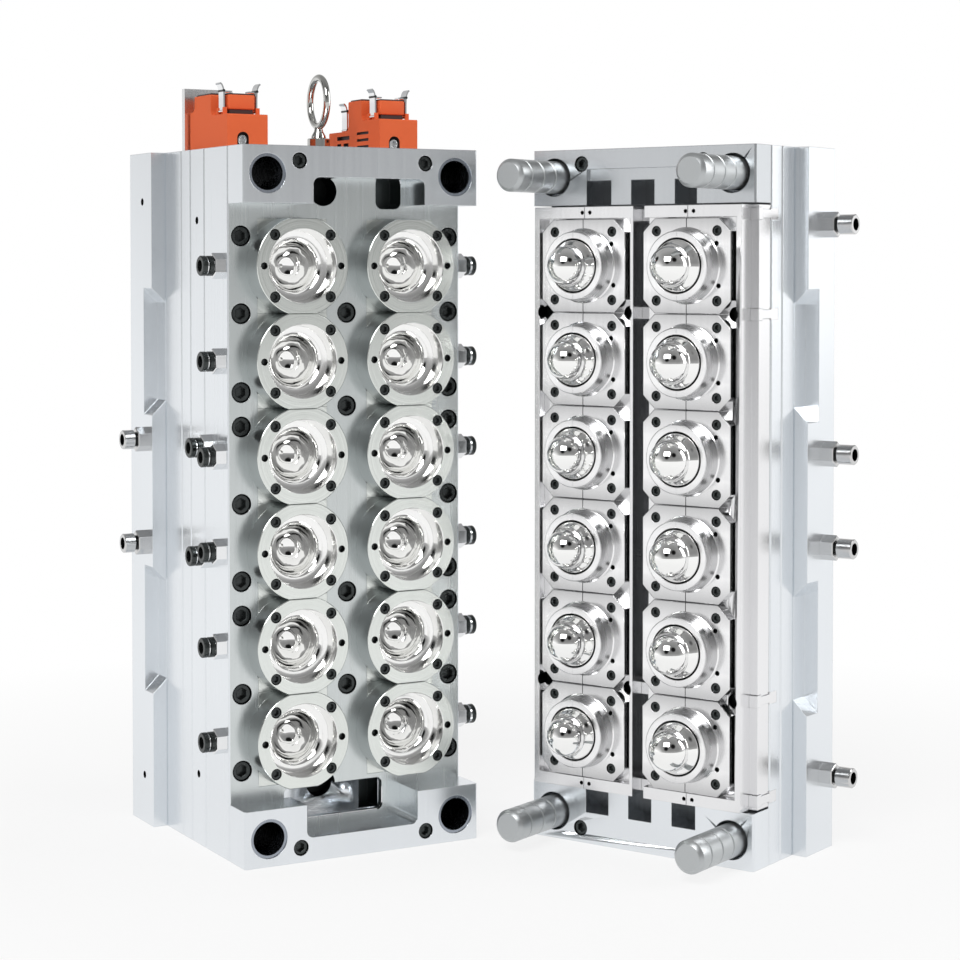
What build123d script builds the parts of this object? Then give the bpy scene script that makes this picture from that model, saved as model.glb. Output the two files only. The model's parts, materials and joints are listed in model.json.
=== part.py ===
from build123d import *
import math
import os

# Preform mould: a hot cavity half and a core half, opened and stood side by side.
# Each half is modelled in its own frame: X across its face, Y into the mould from the
# front plane of its bars, Z up from the floor. All sizes are in millimetres.

# Mould base
WIDTH = 220.0
HEIGHT = 600.0
BAR_HEIGHT = 48.0
PLATE_CHAMFER = 1.5
RUN_GAP = 0.2

# Cavity pattern
ROWS = 6
END_LAND = 12.0
PARTING_STEP = 11.0
CONE_DEPTH = 16.0

# Cavity half, depths of the plates from front to back
CAVITY_BAR_DEPTH = 33.0
CAVITY_PLATE_DEPTH = 51.0
NOZZLE_PLATE_DEPTH = 31.0
REAR_FRAME_DEPTH = 21.0
MANIFOLD_FRAME_DEPTH = 38.0
HOT_CLAMP_DEPTH = 52.0

# Core half, depths of the plates from front to back
CORE_BAR_DEPTH = 27.0
STRIPPER_DEPTH = 19.0
CORE_PLATE_DEPTH = 22.0
CORE_CLAMP_DEPTH = 48.0

# Clamp flanges, which stand past the sides and are notched for the clamps
FLANGE_OVERHANG = 13.0
NOTCH_DEPTH = 20.0
NOTCH_HEIGHT = 113.0
NOTCH_OFFSET = 124.0

# Guide pins and bushes
PIN_DIA = 28.0
PIN_FIT = 0.05
PIN_PROTRUSION = 70.0
PIN_CHAMFER = 3.0
PIN_BAR_CLEARANCE = 2.5
BUSH_WALL = 2.5
BUSH_RECESS = 1.0
GUIDE_EDGE_X = 22.0
GUIDE_EDGE_Z = 23.5

# Cavity inserts
INSERT_GAP = 18.0
INSERT_SEAM = 0.2
INSERT_BODY_WIDTH = 64.0
CONE_MOUTH_DIA = 62.0
CONE_FLOOR_DIA = 54.0
GATE_WALL = 8.0
PREFORM_WALL = 3.5

# Cores and neck rings
CORE_DIA = 34.0
CORE_TIP = 54.0
CORE_COLLAR_DROP = 1.0
CORE_SLOT_AIR = 3.5
NECK_WALL = 4.0
NECK_SEAM = 0.5
NECK_THICKNESS = 10.0
NECK_BORE_DIA = 47.0
NECK_CONE_FIT = 0.5
NECK_CHAMFER = 11.0

# Slides, guide rails and their travel
SLIDE_FOOT_DEPTH = 19.0
SLIDE_SIDE_INSET = 8.0
SLIDE_FOOT_INSET = 1.0
SLIDE_END_GAP = 1.5
CENTRE_CHANNEL = 18.0
SLIDE_RELIEF_AIR = 0.1
SLIDE_GROOVE = 4.0
SLIDE_RIM_WIDTH = 5.0
INNER_RIM_WIDTH = 3.0
SLIDE_RIM = 9.0
SLIDE_BAND_GAP = 0.5
RAIL_HEIGHT = 10.0
RAIL_WEB = 7.0
RAIL_FRONT = 6.0
RAIL_HEAD_DEPTH = 7.0
RAIL_SEAT = 12.0
RAIL_BAR_GAP = 4.0

# Bars
WINDOW_WIDTH = 104.8
WINDOW_OFFSET = 6.1
WINDOW_DEPTH = 22.0
BAR_NOTCH_OFFSET = -1.2
BAR_NOTCH_DEPTH = 28.0
WINDOW_CORNER = 6.0
WINDOW_HOLE_DIA = 25.0
WINDOW_HOLE_OFFSET = -22.0
WINDOW_HOLE_RISE = 11.5
WINDOW_POCKET_OFFSET = 40.0
WINDOW_POCKET_WIDTH = 24.0
WINDOW_POCKET_OVERLAP = 3.0
WINDOW_POCKET_DEPTH = 20.0
COMB_PITCH = 43.0
COMB_WIDTH = 23.0
COMB_DEPTH = 21.0
COMB_RECESS = 3.0
COMB_RECESS_LAND = 10.0

# Hot runner
MANIFOLD_FRONT = 124.0
MANIFOLD_DEPTH = 28.0
MANIFOLD_BAR_WIDTH = 44.0
FRAME_WALL = 28.0
NOZZLE_DIA = 26.0
NOZZLE_AIR = 2.0
SPRUE_DIA = 30.0
SPRUE_HEAD_DIA = 46.0
SPRUE_HEAD_DEPTH = 14.0
SPRUE_BORE_DIA = 8.0
LOCATING_DIA = 120.0
LOCATING_BORE_DIA = 60.0
LOCATING_LENGTH = 10.0
LOCATING_SEAT = 10.0
LOCATING_FLANGE = 6.0
LOCATING_RELIEF = 2.0

# Fittings
COUPLING_DIA = 17.0
COUPLING_COLLAR_DIA = 22.0
COUPLING_LENGTH = 20.0
COUPLING_COLLAR_LENGTH = 9.5
COUPLING_SETBACK = 12.0
REAR_COUPLING_SETBACK = 39.0
NIPPLE_LENGTH = 24.0
NIPPLE_COLLAR_LENGTH = 12.0
NIPPLE_DEPTH = 185.0
NIPPLE_OFFSET = 46.0
CORE_NIPPLE_DEPTH = 100.0
CORE_NIPPLE_EDGE = 65.0
CORE_NIPPLE_OFFSET = 40.0
CORE_NIPPLE_LENGTH = 28.0

# Lifting eye
EYE_OFFSET = 4.0
EYE_SETBACK = 13.0
EYE_OUTER_DIA = 50.0
EYE_THICKNESS = 7.0
EYE_SECTION_SIDES = 8
EYE_COLLAR_DIA = 20.0
EYE_SHANK_DIA = 12.0
EYE_SHANK_LENGTH = 24.0
EYE_CENTRE_HEIGHT = 44.0
EYE_TURN = -5.0

# Electrical connectors: housings, hoods and latch levers
CONNECTOR_WIDTH = 37.0
CONNECTOR_FRONT = 48.0
LEFT_CONNECTOR_EDGE = 6.5
RIGHT_CONNECTOR_EDGE = 33.5
LEFT_CONNECTOR_LENGTH = 82.0
RIGHT_CONNECTOR_LENGTH = 102.0
LEFT_TAIL_LENGTH = 10.0
LEFT_TAIL_HEIGHT = 33.0
RIGHT_TAIL_LENGTH = 40.0
RIGHT_TAIL_HEIGHT = 20.0
HOUSING_STEP_HEIGHT = 28.0
HOUSING_HEIGHT = 46.0
HOUSING_SWEEP = 5.0
HOUSING_CORNER = 1.5
HOUSING_EDGE_FIND = 0.1
HOOD_SIDE_AIR = 1.35
HOOD_SETBACK = 12.0
HOOD_DEPTH = 16.0
HOOD_HEIGHT = 18.0
HOOD_GAP = 3.0
HOOD_CHAMFER = 2.0
BRACKET_THICKNESS = 6.0
BRACKET_HEIGHT = 54.0
BRACKET_GAP = 3.0
BRACKET_SIDE = 4.0
LATCH_THICKNESS = 2.5
LATCH_WIDTH = 10.0
LATCH_AIR = 0.4
LATCH_INSET = 3.5
LATCH_BITE = 4.0
LATCH_TAB = 6.0
LATCH_PIVOT_HEIGHT = 3.0
LUG_WIDTH = 2.0
LUG_HEIGHT = 6.0

# How the core half stands beside the cavity half
CORE_TURN = -64.8
CORE_CORNER = (363.5, -210.0)

# Derived places
CENTRE_X = WIDTH / 2
CENTRE_Z = HEIGHT / 2
ROW_PITCH = (HEIGHT - 2 * (BAR_HEIGHT + END_LAND)) / ROWS
SLIDE_MARGIN = SLIDE_SIDE_INSET + SLIDE_RIM_WIDTH + SLIDE_GROOVE
COLUMN_PITCH = (WIDTH + CENTRE_CHANNEL) / 2 - SLIDE_MARGIN
COLUMNS = (CENTRE_X - COLUMN_PITCH / 2, CENTRE_X + COLUMN_PITCH / 2)
ROW_HEIGHTS = [CENTRE_Z + (i - (ROWS - 1) / 2) * ROW_PITCH for i in range(ROWS)]
GUIDE_POINTS = [
    (x, z)
    for x in (GUIDE_EDGE_X, WIDTH - GUIDE_EDGE_X)
    for z in (GUIDE_EDGE_Z, HEIGHT - GUIDE_EDGE_Z)
]
BUSH_DIA = PIN_DIA + 2 * BUSH_WALL
BUSH_BORE = PIN_DIA + 2 * PIN_FIT

CAVITY_PLATE_BACK = CAVITY_BAR_DEPTH + CAVITY_PLATE_DEPTH
COUPLING_DEPTH = CAVITY_BAR_DEPTH + COUPLING_SETBACK
REAR_COUPLING_DEPTH = CAVITY_BAR_DEPTH + REAR_COUPLING_SETBACK
NOZZLE_PLATE_BACK = CAVITY_PLATE_BACK + NOZZLE_PLATE_DEPTH
REAR_FRAME_BACK = NOZZLE_PLATE_BACK + REAR_FRAME_DEPTH
MANIFOLD_FRAME_BACK = REAR_FRAME_BACK + MANIFOLD_FRAME_DEPTH
HOT_CLAMP_BACK = MANIFOLD_FRAME_BACK + HOT_CLAMP_DEPTH
INSERT_DIA = COLUMN_PITCH - INSERT_GAP
BORE_DIA = CORE_DIA + 2 * PREFORM_WALL
BORE_BOTTOM = CORE_TIP + PREFORM_WALL
INSERT_BACK = BORE_BOTTOM + GATE_WALL
MANIFOLD_BACK = MANIFOLD_FRONT + MANIFOLD_DEPTH

STRIPPER_FRONT = CORE_BAR_DEPTH
STRIPPER_BACK = CORE_BAR_DEPTH + STRIPPER_DEPTH
CORE_PLATE_FRONT = STRIPPER_BACK + RUN_GAP
CORE_PLATE_BACK = CORE_PLATE_FRONT + CORE_PLATE_DEPTH
CORE_CLAMP_BACK = CORE_PLATE_BACK + CORE_CLAMP_DEPTH
RAIL_BACK = STRIPPER_FRONT + RAIL_SEAT
RAIL_OUTER = CENTRE_Z - BAR_HEIGHT - RAIL_BAR_GAP - RAIL_HEIGHT / 2
RAIL_INNER = ROW_PITCH * (ROWS / 2 - 1)
RAIL_HEIGHTS = [CENTRE_Z + offset for offset in (-RAIL_OUTER, -RAIL_INNER, RAIL_INNER, RAIL_OUTER)]
RAIL_HEAD_BACK = RAIL_FRONT + RAIL_HEAD_DEPTH
NECK_WIDTH = COLUMN_PITCH - CENTRE_CHANNEL
NECK_BACK = NECK_THICKNESS - PARTING_STEP
NECK_TIP = PARTING_STEP + CONE_DEPTH
CORE_COLLAR_DIA = NECK_BORE_DIA - 2 * NECK_WALL
CORE_SLOT_WIDTH = CORE_COLLAR_DIA + 2 * CORE_SLOT_AIR
SLIDE_RELIEF = NECK_BORE_DIA / 2 + SLIDE_RELIEF_AIR

WINDOW_CENTRE = CENTRE_X + WINDOW_OFFSET
BAR_NOTCH_CENTRE = CENTRE_X + BAR_NOTCH_OFFSET
EYE_X = CENTRE_X + EYE_OFFSET
EYE_DEPTH = CAVITY_PLATE_BACK + EYE_SETBACK
LEFT_CONNECTOR_X = LEFT_CONNECTOR_EDGE
RIGHT_CONNECTOR_X = WIDTH - RIGHT_CONNECTOR_EDGE - CONNECTOR_WIDTH
HOUSING_STEP = HEIGHT + HOUSING_STEP_HEIGHT
HOOD_FRONT = CONNECTOR_FRONT + HOOD_SETBACK
HOOD_BACK = HOOD_FRONT + HOOD_DEPTH
HOOD_TOP = HOUSING_STEP + HOOD_HEIGHT
HOOD_INSET = LATCH_INSET + LATCH_THICKNESS / 2 + LATCH_AIR + HOOD_SIDE_AIR
HUMP_FRONT = HOOD_BACK + HOOD_GAP + HOUSING_SWEEP
LATCH_Y = HOOD_FRONT + HOOD_DEPTH / 2


def block(x0, x1, y0, y1, z0, z1):
    """A plain box from its lowest corner to its highest corner."""
    box = Box(x1 - x0, y1 - y0, z1 - z0, align=(Align.MIN, Align.MIN, Align.MIN))
    return Pos(x0, y0, z0) * box


def plate(y0, y1):
    """A full mould plate with its long edges broken."""
    body = block(0, WIDTH, y0, y1, 0, HEIGHT)
    edges = body.edges().filter_by(Axis.Z)
    return chamfer(edges, PLATE_CHAMFER)


def rod(x, z, y0, y1, diameter):
    """A cylinder along Y between two depths."""
    profile = Plane(origin=(x, y0, z), x_dir=(1, 0, 0), z_dir=(0, 1, 0))
    return extrude(profile * Circle(diameter / 2), y1 - y0)


def side_rod(x0, x1, y, z, diameter):
    """A cylinder along X between two places."""
    low, high = sorted((x0, x1))
    profile = Plane(origin=(low, y, z), x_dir=(0, 1, 0), z_dir=(1, 0, 0))
    return extrude(profile * Circle(diameter / 2), high - low)


def turned(x, z, points):
    """A turned piece about a Y axis, from (radius, depth) points."""
    outline = Plane(origin=(x, 0, z), x_dir=(1, 0, 0), z_dir=(0, 0, 1))
    face = make_face(outline * Polyline(*points, close=True))
    return revolve(face, Axis((x, 0, z), (0, 1, 0)))


def all_of(solids):
    """Separate solids kept together as one node."""
    return Compound(list(solids))


def flange_notch(y0, side, middle):
    """One clamp notch in a flange, with chamfered ends."""
    half = NOTCH_HEIGHT / 2
    inner = half - FLANGE_OVERHANG
    root = CENTRE_X + side * CENTRE_X
    edge = root + side * FLANGE_OVERHANG
    points = [
        (edge, middle - half),
        (root, middle - inner),
        (root, middle + inner),
        (edge, middle + half),
    ]
    profile = Plane(origin=(0, y0, 0), x_dir=(1, 0, 0), z_dir=(0, -1, 0))
    face = make_face(profile * Polyline(*points, close=True))
    return extrude(face, NOTCH_DEPTH, dir=(0, 1, 0))


def clamp_plate(y0, y1):
    """A clamp plate that stands past both sides, with its front edge notched for clamps."""
    body = block(-FLANGE_OVERHANG, WIDTH + FLANGE_OVERHANG, y0, y1, 0, HEIGHT)
    for side in (-1, 1):
        for offset in (-NOTCH_OFFSET, NOTCH_OFFSET):
            body -= flange_notch(y0, side, CENTRE_Z + offset)
    return body


def cavity_insert(x, z):
    """A cavity insert: flatted flange, locking cone, polished bore and square body."""
    flange = rod(x, z, PARTING_STEP, CAVITY_BAR_DEPTH, INSERT_DIA)
    tall = (ROW_PITCH - INSERT_SEAM) / 2
    outer = INSERT_DIA / 2
    flange &= block(x - outer, x + outer, PARTING_STEP, CAVITY_BAR_DEPTH, z - tall, z + tall)
    half = INSERT_BODY_WIDTH / 2
    body = block(x - half, x + half, CAVITY_BAR_DEPTH, INSERT_BACK, z - tall, z + tall)
    hollow = [
        (0, PARTING_STEP),
        (CONE_MOUTH_DIA / 2, PARTING_STEP),
        (CONE_FLOOR_DIA / 2, NECK_TIP),
        (BORE_DIA / 2, NECK_TIP),
        (BORE_DIA / 2, BORE_BOTTOM),
        (0, BORE_BOTTOM),
    ]
    return flange + body - turned(x, z, hollow)


def cavity_plate():
    """The plate that carries the inserts and the guide bushes."""
    body = plate(CAVITY_BAR_DEPTH, CAVITY_PLATE_BACK)
    low = ROW_HEIGHTS[0] - ROW_PITCH / 2
    high = ROW_HEIGHTS[-1] + ROW_PITCH / 2
    half = INSERT_BODY_WIDTH / 2
    for x in COLUMNS:
        body -= block(x - half, x + half, CAVITY_BAR_DEPTH, CAVITY_PLATE_BACK, low, high)
    for x, z in GUIDE_POINTS:
        body -= rod(x, z, CAVITY_BAR_DEPTH, CAVITY_PLATE_BACK, BUSH_DIA)
    return body - window_pockets()


def window_pockets():
    """The blind hole and the round-ended pocket that show through the top window."""
    front = CAVITY_BAR_DEPTH
    back = front + WINDOW_POCKET_DEPTH
    low = HEIGHT - BAR_HEIGHT
    hole = rod(CENTRE_X + WINDOW_HOLE_OFFSET, low + WINDOW_HOLE_RISE, front, back, WINDOW_HOLE_DIA)
    left = CENTRE_X + WINDOW_POCKET_OFFSET - WINDOW_POCKET_WIDTH / 2
    top = low + WINDOW_DEPTH + WINDOW_POCKET_OVERLAP
    pocket = block(left, left + WINDOW_POCKET_WIDTH, front, back, low - WINDOW_POCKET_OVERLAP, top)
    return hole + fillet(pocket.edges().filter_by(Axis.Y), WINDOW_CORNER)


def bar_blank(depth, z0):
    """A bar across the end of a half, with the long edges broken."""
    body = block(0, WIDTH, 0, depth, z0, z0 + BAR_HEIGHT)
    return chamfer(body.edges().filter_by(Axis.Z), PLATE_CHAMFER)


def cavity_bar(z0):
    """A bar of the cavity half with its window or notch and its bush bores."""
    body = bar_blank(CAVITY_BAR_DEPTH, z0)
    for x, z in GUIDE_POINTS:
        body -= rod(x, z, 0, CAVITY_BAR_DEPTH, BUSH_DIA)
    half = WINDOW_WIDTH / 2
    if z0 == 0:
        left, low, high = BAR_NOTCH_CENTRE - half, BAR_HEIGHT - BAR_NOTCH_DEPTH, BAR_HEIGHT
        closed_end = 0
    else:
        left, low, high = WINDOW_CENTRE - half, z0, z0 + WINDOW_DEPTH
        closed_end = -1
    opening = block(left, left + WINDOW_WIDTH, 0, CAVITY_BAR_DEPTH, low, high)
    corners = opening.edges().filter_by(Axis.Y).group_by(Axis.Z)[closed_end]
    return body - fillet(corners, WINDOW_CORNER)


def guide_bush(x, z):
    """A guide bush through the bar and the cavity plate."""
    outer = rod(x, z, BUSH_RECESS, CAVITY_PLATE_BACK, BUSH_DIA)
    return outer - rod(x, z, BUSH_RECESS, CAVITY_PLATE_BACK, BUSH_BORE)


def nozzle_plate():
    """The plate behind the cavities, slotted for the hot nozzles."""
    body = plate(CAVITY_PLATE_BACK, NOZZLE_PLATE_BACK)
    half = NOZZLE_DIA / 2 + NOZZLE_AIR
    low = ROW_HEIGHTS[0] - half
    high = ROW_HEIGHTS[-1] + half
    for x in COLUMNS:
        body -= block(x - half, x + half, CAVITY_PLATE_BACK, NOZZLE_PLATE_BACK, low, high)
    shank = Cylinder(EYE_SHANK_DIA / 2, EYE_SHANK_LENGTH, align=(Align.CENTER, Align.CENTER, Align.MAX))
    return body - Pos(EYE_X, EYE_DEPTH, HEIGHT) * shank


def frame_plate(y0, y1):
    """A frame round the manifold."""
    body = plate(y0, y1)
    body -= block(FRAME_WALL, WIDTH - FRAME_WALL, y0, y1, FRAME_WALL, HEIGHT - FRAME_WALL)
    return body


def manifold():
    """The hot runner manifold: a bar behind each column, joined by cross arms."""
    half = MANIFOLD_BAR_WIDTH / 2
    low = ROW_HEIGHTS[0] - half
    high = ROW_HEIGHTS[-1] + half
    bars = [block(x - half, x + half, MANIFOLD_FRONT, MANIFOLD_BACK, low, high) for x in COLUMNS]
    body = bars[0] + bars[1]
    for z in (ROW_HEIGHTS[0], CENTRE_Z, ROW_HEIGHTS[-1]):
        body += block(COLUMNS[0], COLUMNS[1], MANIFOLD_FRONT, MANIFOLD_BACK, z - half, z + half)
    return body


def nozzle(x, z):
    """A hot nozzle between the manifold and the back of an insert."""
    return rod(x, z, INSERT_BACK, MANIFOLD_FRONT, NOZZLE_DIA)


def hot_clamp_plate():
    """The clamp plate of the cavity half, bored for the sprue and the locating ring."""
    body = clamp_plate(MANIFOLD_FRAME_BACK, HOT_CLAMP_BACK)
    seat = HOT_CLAMP_BACK - LOCATING_SEAT
    body -= rod(CENTRE_X, CENTRE_Z, MANIFOLD_FRAME_BACK, seat, SPRUE_DIA)
    body -= rod(CENTRE_X, CENTRE_Z, seat, HOT_CLAMP_BACK, LOCATING_DIA + 2 * LOCATING_FLANGE)
    return body


def sprue_bush():
    """The sprue bush from the machine nozzle to the manifold."""
    top = HOT_CLAMP_BACK - LOCATING_SEAT + SPRUE_HEAD_DEPTH
    seat = HOT_CLAMP_BACK - LOCATING_SEAT
    bore = SPRUE_BORE_DIA / 2
    points = [
        (bore, MANIFOLD_BACK),
        (SPRUE_DIA / 2, MANIFOLD_BACK),
        (SPRUE_DIA / 2, seat),
        (SPRUE_HEAD_DIA / 2, seat),
        (SPRUE_HEAD_DIA / 2, top),
        (bore, top),
    ]
    return turned(CENTRE_X, CENTRE_Z, points)


def locating_ring():
    """The ring that centres the mould in the machine platen."""
    seat = HOT_CLAMP_BACK - LOCATING_SEAT
    ledge = HOT_CLAMP_BACK + LOCATING_RELIEF
    bore = LOCATING_BORE_DIA / 2
    radius = LOCATING_DIA / 2
    points = [
        (bore, seat),
        (radius + LOCATING_FLANGE, seat),
        (radius + LOCATING_FLANGE, HOT_CLAMP_BACK),
        (radius - LOCATING_RELIEF, HOT_CLAMP_BACK),
        (radius - LOCATING_RELIEF, ledge),
        (radius, ledge),
        (radius, ledge + LOCATING_LENGTH),
        (bore, ledge + LOCATING_LENGTH),
    ]
    return turned(CENTRE_X, CENTRE_Z, points)


def fitting(x, outward, y, z, length, collar_length):
    """A hose fitting on a side face: a hexagon collar and a round spigot."""
    root = x + outward * collar_length
    low, high = sorted((x, root))
    profile = Plane(origin=(low, y, z), x_dir=(0, 1, 0), z_dir=(1, 0, 0))
    collar = extrude(profile * RegularPolygon(COUPLING_COLLAR_DIA / 2, 6), high - low)
    return collar + side_rod(root, x + outward * length, y, z, COUPLING_DIA)


def couplings(x, outward, y, heights, length, collar_length):
    """A row of like fittings."""
    return all_of([fitting(x, outward, y, z, length, collar_length) for z in heights])


def eye_bolt():
    """The lifting eye screwed into the top of the nozzle plate."""
    middle = (EYE_OUTER_DIA - EYE_THICKNESS) / 2
    section = Plane.XZ * Pos(middle, 0) * RegularPolygon(EYE_THICKNESS / 2, EYE_SECTION_SIDES)
    ring = revolve(section, Axis.Z)
    foot = EYE_CENTRE_HEIGHT - middle
    collar = Cylinder(EYE_COLLAR_DIA / 2, foot, align=(Align.CENTER, Align.CENTER, Align.MIN))
    shank = Cylinder(EYE_SHANK_DIA / 2, EYE_SHANK_LENGTH, align=(Align.CENTER, Align.CENTER, Align.MAX))
    eye = Pos(0, 0, EYE_CENTRE_HEIGHT) * Rot(0, 0, EYE_TURN) * Rot(0, 90, 0) * ring
    return Pos(EYE_X, EYE_DEPTH, HEIGHT) * (eye + collar + shank)


def connector_housing(x, length, tail_length, tail_height):
    """A fixed connector housing, seen from its side as a step, a hump and a tail."""
    front = CONNECTOR_FRONT
    hump = HUMP_FRONT
    tail = front + length - tail_length
    top = HEIGHT + HOUSING_HEIGHT
    outline = [
        (front, HEIGHT),
        (front, HOUSING_STEP),
        (hump, HOUSING_STEP),
        (hump, top),
        (tail, top),
        (tail, HEIGHT + tail_height),
        (front + length, HEIGHT + tail_height),
        (front + length, HEIGHT),
    ]
    side = Plane(origin=(x, 0, 0), x_dir=(0, 1, 0), z_dir=(1, 0, 0))
    body = extrude(make_face(side * Polyline(*outline, close=True)), CONNECTOR_WIDTH, dir=(1, 0, 0))
    body = fillet(edges_at(body, [(hump, HOUSING_STEP), (tail, HEIGHT + tail_height)]), HOUSING_SWEEP)
    crests = [(front, HOUSING_STEP), (hump, top), (tail, top), (front + length, HEIGHT + tail_height)]
    body = fillet(edges_at(body, crests), HOUSING_CORNER)
    return body + latch_lugs(x, -1) + latch_lugs(x + CONNECTOR_WIDTH, 1)


def edges_at(body, places):
    """The edges along X that pass through the given (Y, Z) places."""
    found = []
    for edge in body.edges().filter_by(Axis.X):
        middle = edge.center()
        if any(math.hypot(middle.Y - y, middle.Z - z) < HOUSING_EDGE_FIND for y, z in places):
            found.append(edge)
    return found


def connector_hood(x):
    """The plugged hood that stands on the step of a housing between its levers."""
    right = x + CONNECTOR_WIDTH
    body = block(x + HOOD_INSET, right - HOOD_INSET, HOOD_FRONT, HOOD_BACK, HOUSING_STEP, HOOD_TOP)
    top = body.faces().sort_by(Axis.Z)[-1]
    return chamfer(top.edges(), HOOD_CHAMFER)


def connector_bracket():
    """The upright plate behind the left connector."""
    left = LEFT_CONNECTOR_X - BRACKET_SIDE
    right = LEFT_CONNECTOR_X + CONNECTOR_WIDTH + BRACKET_SIDE
    front = CONNECTOR_FRONT + LEFT_CONNECTOR_LENGTH + BRACKET_GAP
    return block(left, right, front, front + BRACKET_THICKNESS, HEIGHT, HEIGHT + BRACKET_HEIGHT)


def latch_lugs(edge, side):
    """The two lugs that hold a latch lever's knuckle near one edge of a housing."""
    pivot_x = edge - side * LATCH_INSET
    reach = LATCH_THICKNESS / 2 + LATCH_AIR
    inner = LATCH_WIDTH / 2 + LATCH_AIR
    left, right = pivot_x - reach, pivot_x + reach
    high = HOUSING_STEP + LUG_HEIGHT
    front = block(left, right, LATCH_Y - inner - LUG_WIDTH, LATCH_Y - inner, HOUSING_STEP, high)
    return front + block(left, right, LATCH_Y + inner, LATCH_Y + inner + LUG_WIDTH, HOUSING_STEP, high)


def latch(edge, side):
    """A latch lever that hooks over its hood: knuckle, strip, hook and finger tab."""
    pivot_x = edge - side * LATCH_INSET
    pivot_z = HOUSING_STEP + LATCH_PIVOT_HEIGHT
    near, far = LATCH_Y - LATCH_WIDTH / 2, LATCH_Y + LATCH_WIDTH / 2
    half = LATCH_THICKNESS / 2
    hook_low = HOOD_TOP + LATCH_AIR
    hook_high = hook_low + LATCH_THICKNESS
    knuckle = rod(pivot_x, pivot_z, near, far, LATCH_THICKNESS)
    strip = block(pivot_x - half, pivot_x + half, near, far, pivot_z, hook_high + LATCH_TAB)
    tip = edge - side * (HOOD_INSET + LATCH_BITE)
    left, right = sorted((pivot_x, tip))
    return knuckle + strip + block(left, right, near, far, hook_low, hook_high)


def stripper_plate():
    """The stripper plate: core slots, leader-pin bores and rail grooves."""
    body = plate(STRIPPER_FRONT, STRIPPER_BACK)
    half = CORE_SLOT_WIDTH / 2
    low = ROW_HEIGHTS[0] - half
    high = ROW_HEIGHTS[-1] + half
    for x in COLUMNS:
        body -= block(x - half, x + half, STRIPPER_FRONT, STRIPPER_BACK, low, high)
    for x, z in GUIDE_POINTS:
        body -= rod(x, z, STRIPPER_FRONT, STRIPPER_BACK, BUSH_BORE)
    for z in RAIL_HEIGHTS:
        foot = z - RAIL_HEIGHT / 2
        body -= block(0, WIDTH, STRIPPER_FRONT, RAIL_BACK, foot, foot + RAIL_HEIGHT)
    return body


def core_bar(z0):
    """A bar of the core half, comb-slotted towards the slides."""
    body = bar_blank(CORE_BAR_DEPTH, z0)
    for x, z in GUIDE_POINTS:
        body -= rod(x, z, 0, CORE_BAR_DEPTH, PIN_DIA + 2 * PIN_BAR_CLEARANCE)
    low = BAR_HEIGHT - COMB_DEPTH if z0 == 0 else z0
    for step in (-1, 0, 1):
        left = CENTRE_X + step * COMB_PITCH - COMB_WIDTH / 2
        body -= block(left, left + COMB_WIDTH, 0, CORE_BAR_DEPTH, low, low + COMB_DEPTH)
    if z0 > 0:
        reach = COMB_PITCH + COMB_WIDTH / 2
        high = z0 + COMB_DEPTH + COMB_RECESS_LAND
        body -= block(CENTRE_X - reach, CENTRE_X + reach, 0, COMB_RECESS, z0, high)
    return body


def guide_rail(z):
    """A rail of I section that the slide bars run on."""
    head = RAIL_HEIGHT / 2
    web = RAIL_WEB / 2
    body = block(0, WIDTH, RAIL_FRONT, RAIL_HEAD_BACK, z - head, z + head)
    body += block(0, WIDTH, RAIL_HEAD_BACK, STRIPPER_FRONT, z - web, z + web)
    body += block(0, WIDTH, STRIPPER_FRONT, RAIL_BACK, z - head, z + head)
    return body


def slide_edges(column, side):
    """How far a slide reaches from its column: its raised part, then its foot."""
    if (column < CENTRE_X) == (side < 0):
        edge = CENTRE_X + side * CENTRE_X
        return edge - side * SLIDE_SIDE_INSET, edge - side * SLIDE_FOOT_INSET
    edge = column + side * NECK_WIDTH / 2
    if side > 0:
        edge += SLIDE_GROOVE + INNER_RIM_WIDTH
    return edge, edge


def slide_bar(column, side):
    """A slide bar that carries one side's neck-ring halves of a column."""
    low = BAR_HEIGHT + SLIDE_END_GAP
    high = HEIGHT - low
    inner = column + side * SLIDE_RELIEF
    upper, foot = slide_edges(column, side)
    back = CORE_BAR_DEPTH - RUN_GAP
    foot_front = back - SLIDE_FOOT_DEPTH
    body = block(min(inner, upper), max(inner, upper), NECK_BACK, back, low, high)
    body += block(min(inner, foot), max(inner, foot), foot_front, back, low, high)
    rim = column + side * (NECK_WIDTH / 2 + SLIDE_GROOVE)
    if abs(upper - column) > abs(rim - column):
        body += block(min(rim, upper), max(rim, upper), -SLIDE_RIM, NECK_BACK, low, high)
    split = column + side * RUN_GAP
    band = ROW_HEIGHTS[0] - ROW_PITCH / 2 - SLIDE_BAND_GAP
    for z0, z1 in ((low, band), (HEIGHT - band, high)):
        body += block(min(split, upper), max(split, upper), -SLIDE_RIM, back, z0, z1)
    head = RAIL_HEIGHT / 2 + RUN_GAP
    web = RAIL_WEB / 2 + RUN_GAP
    for z in RAIL_HEIGHTS:
        body -= block(0, WIDTH, RAIL_FRONT - RUN_GAP, RAIL_HEAD_BACK + RUN_GAP, z - head, z + head)
        body -= block(0, WIDTH, RAIL_HEAD_BACK, CORE_BAR_DEPTH, z - web, z + web)
    return body


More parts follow.
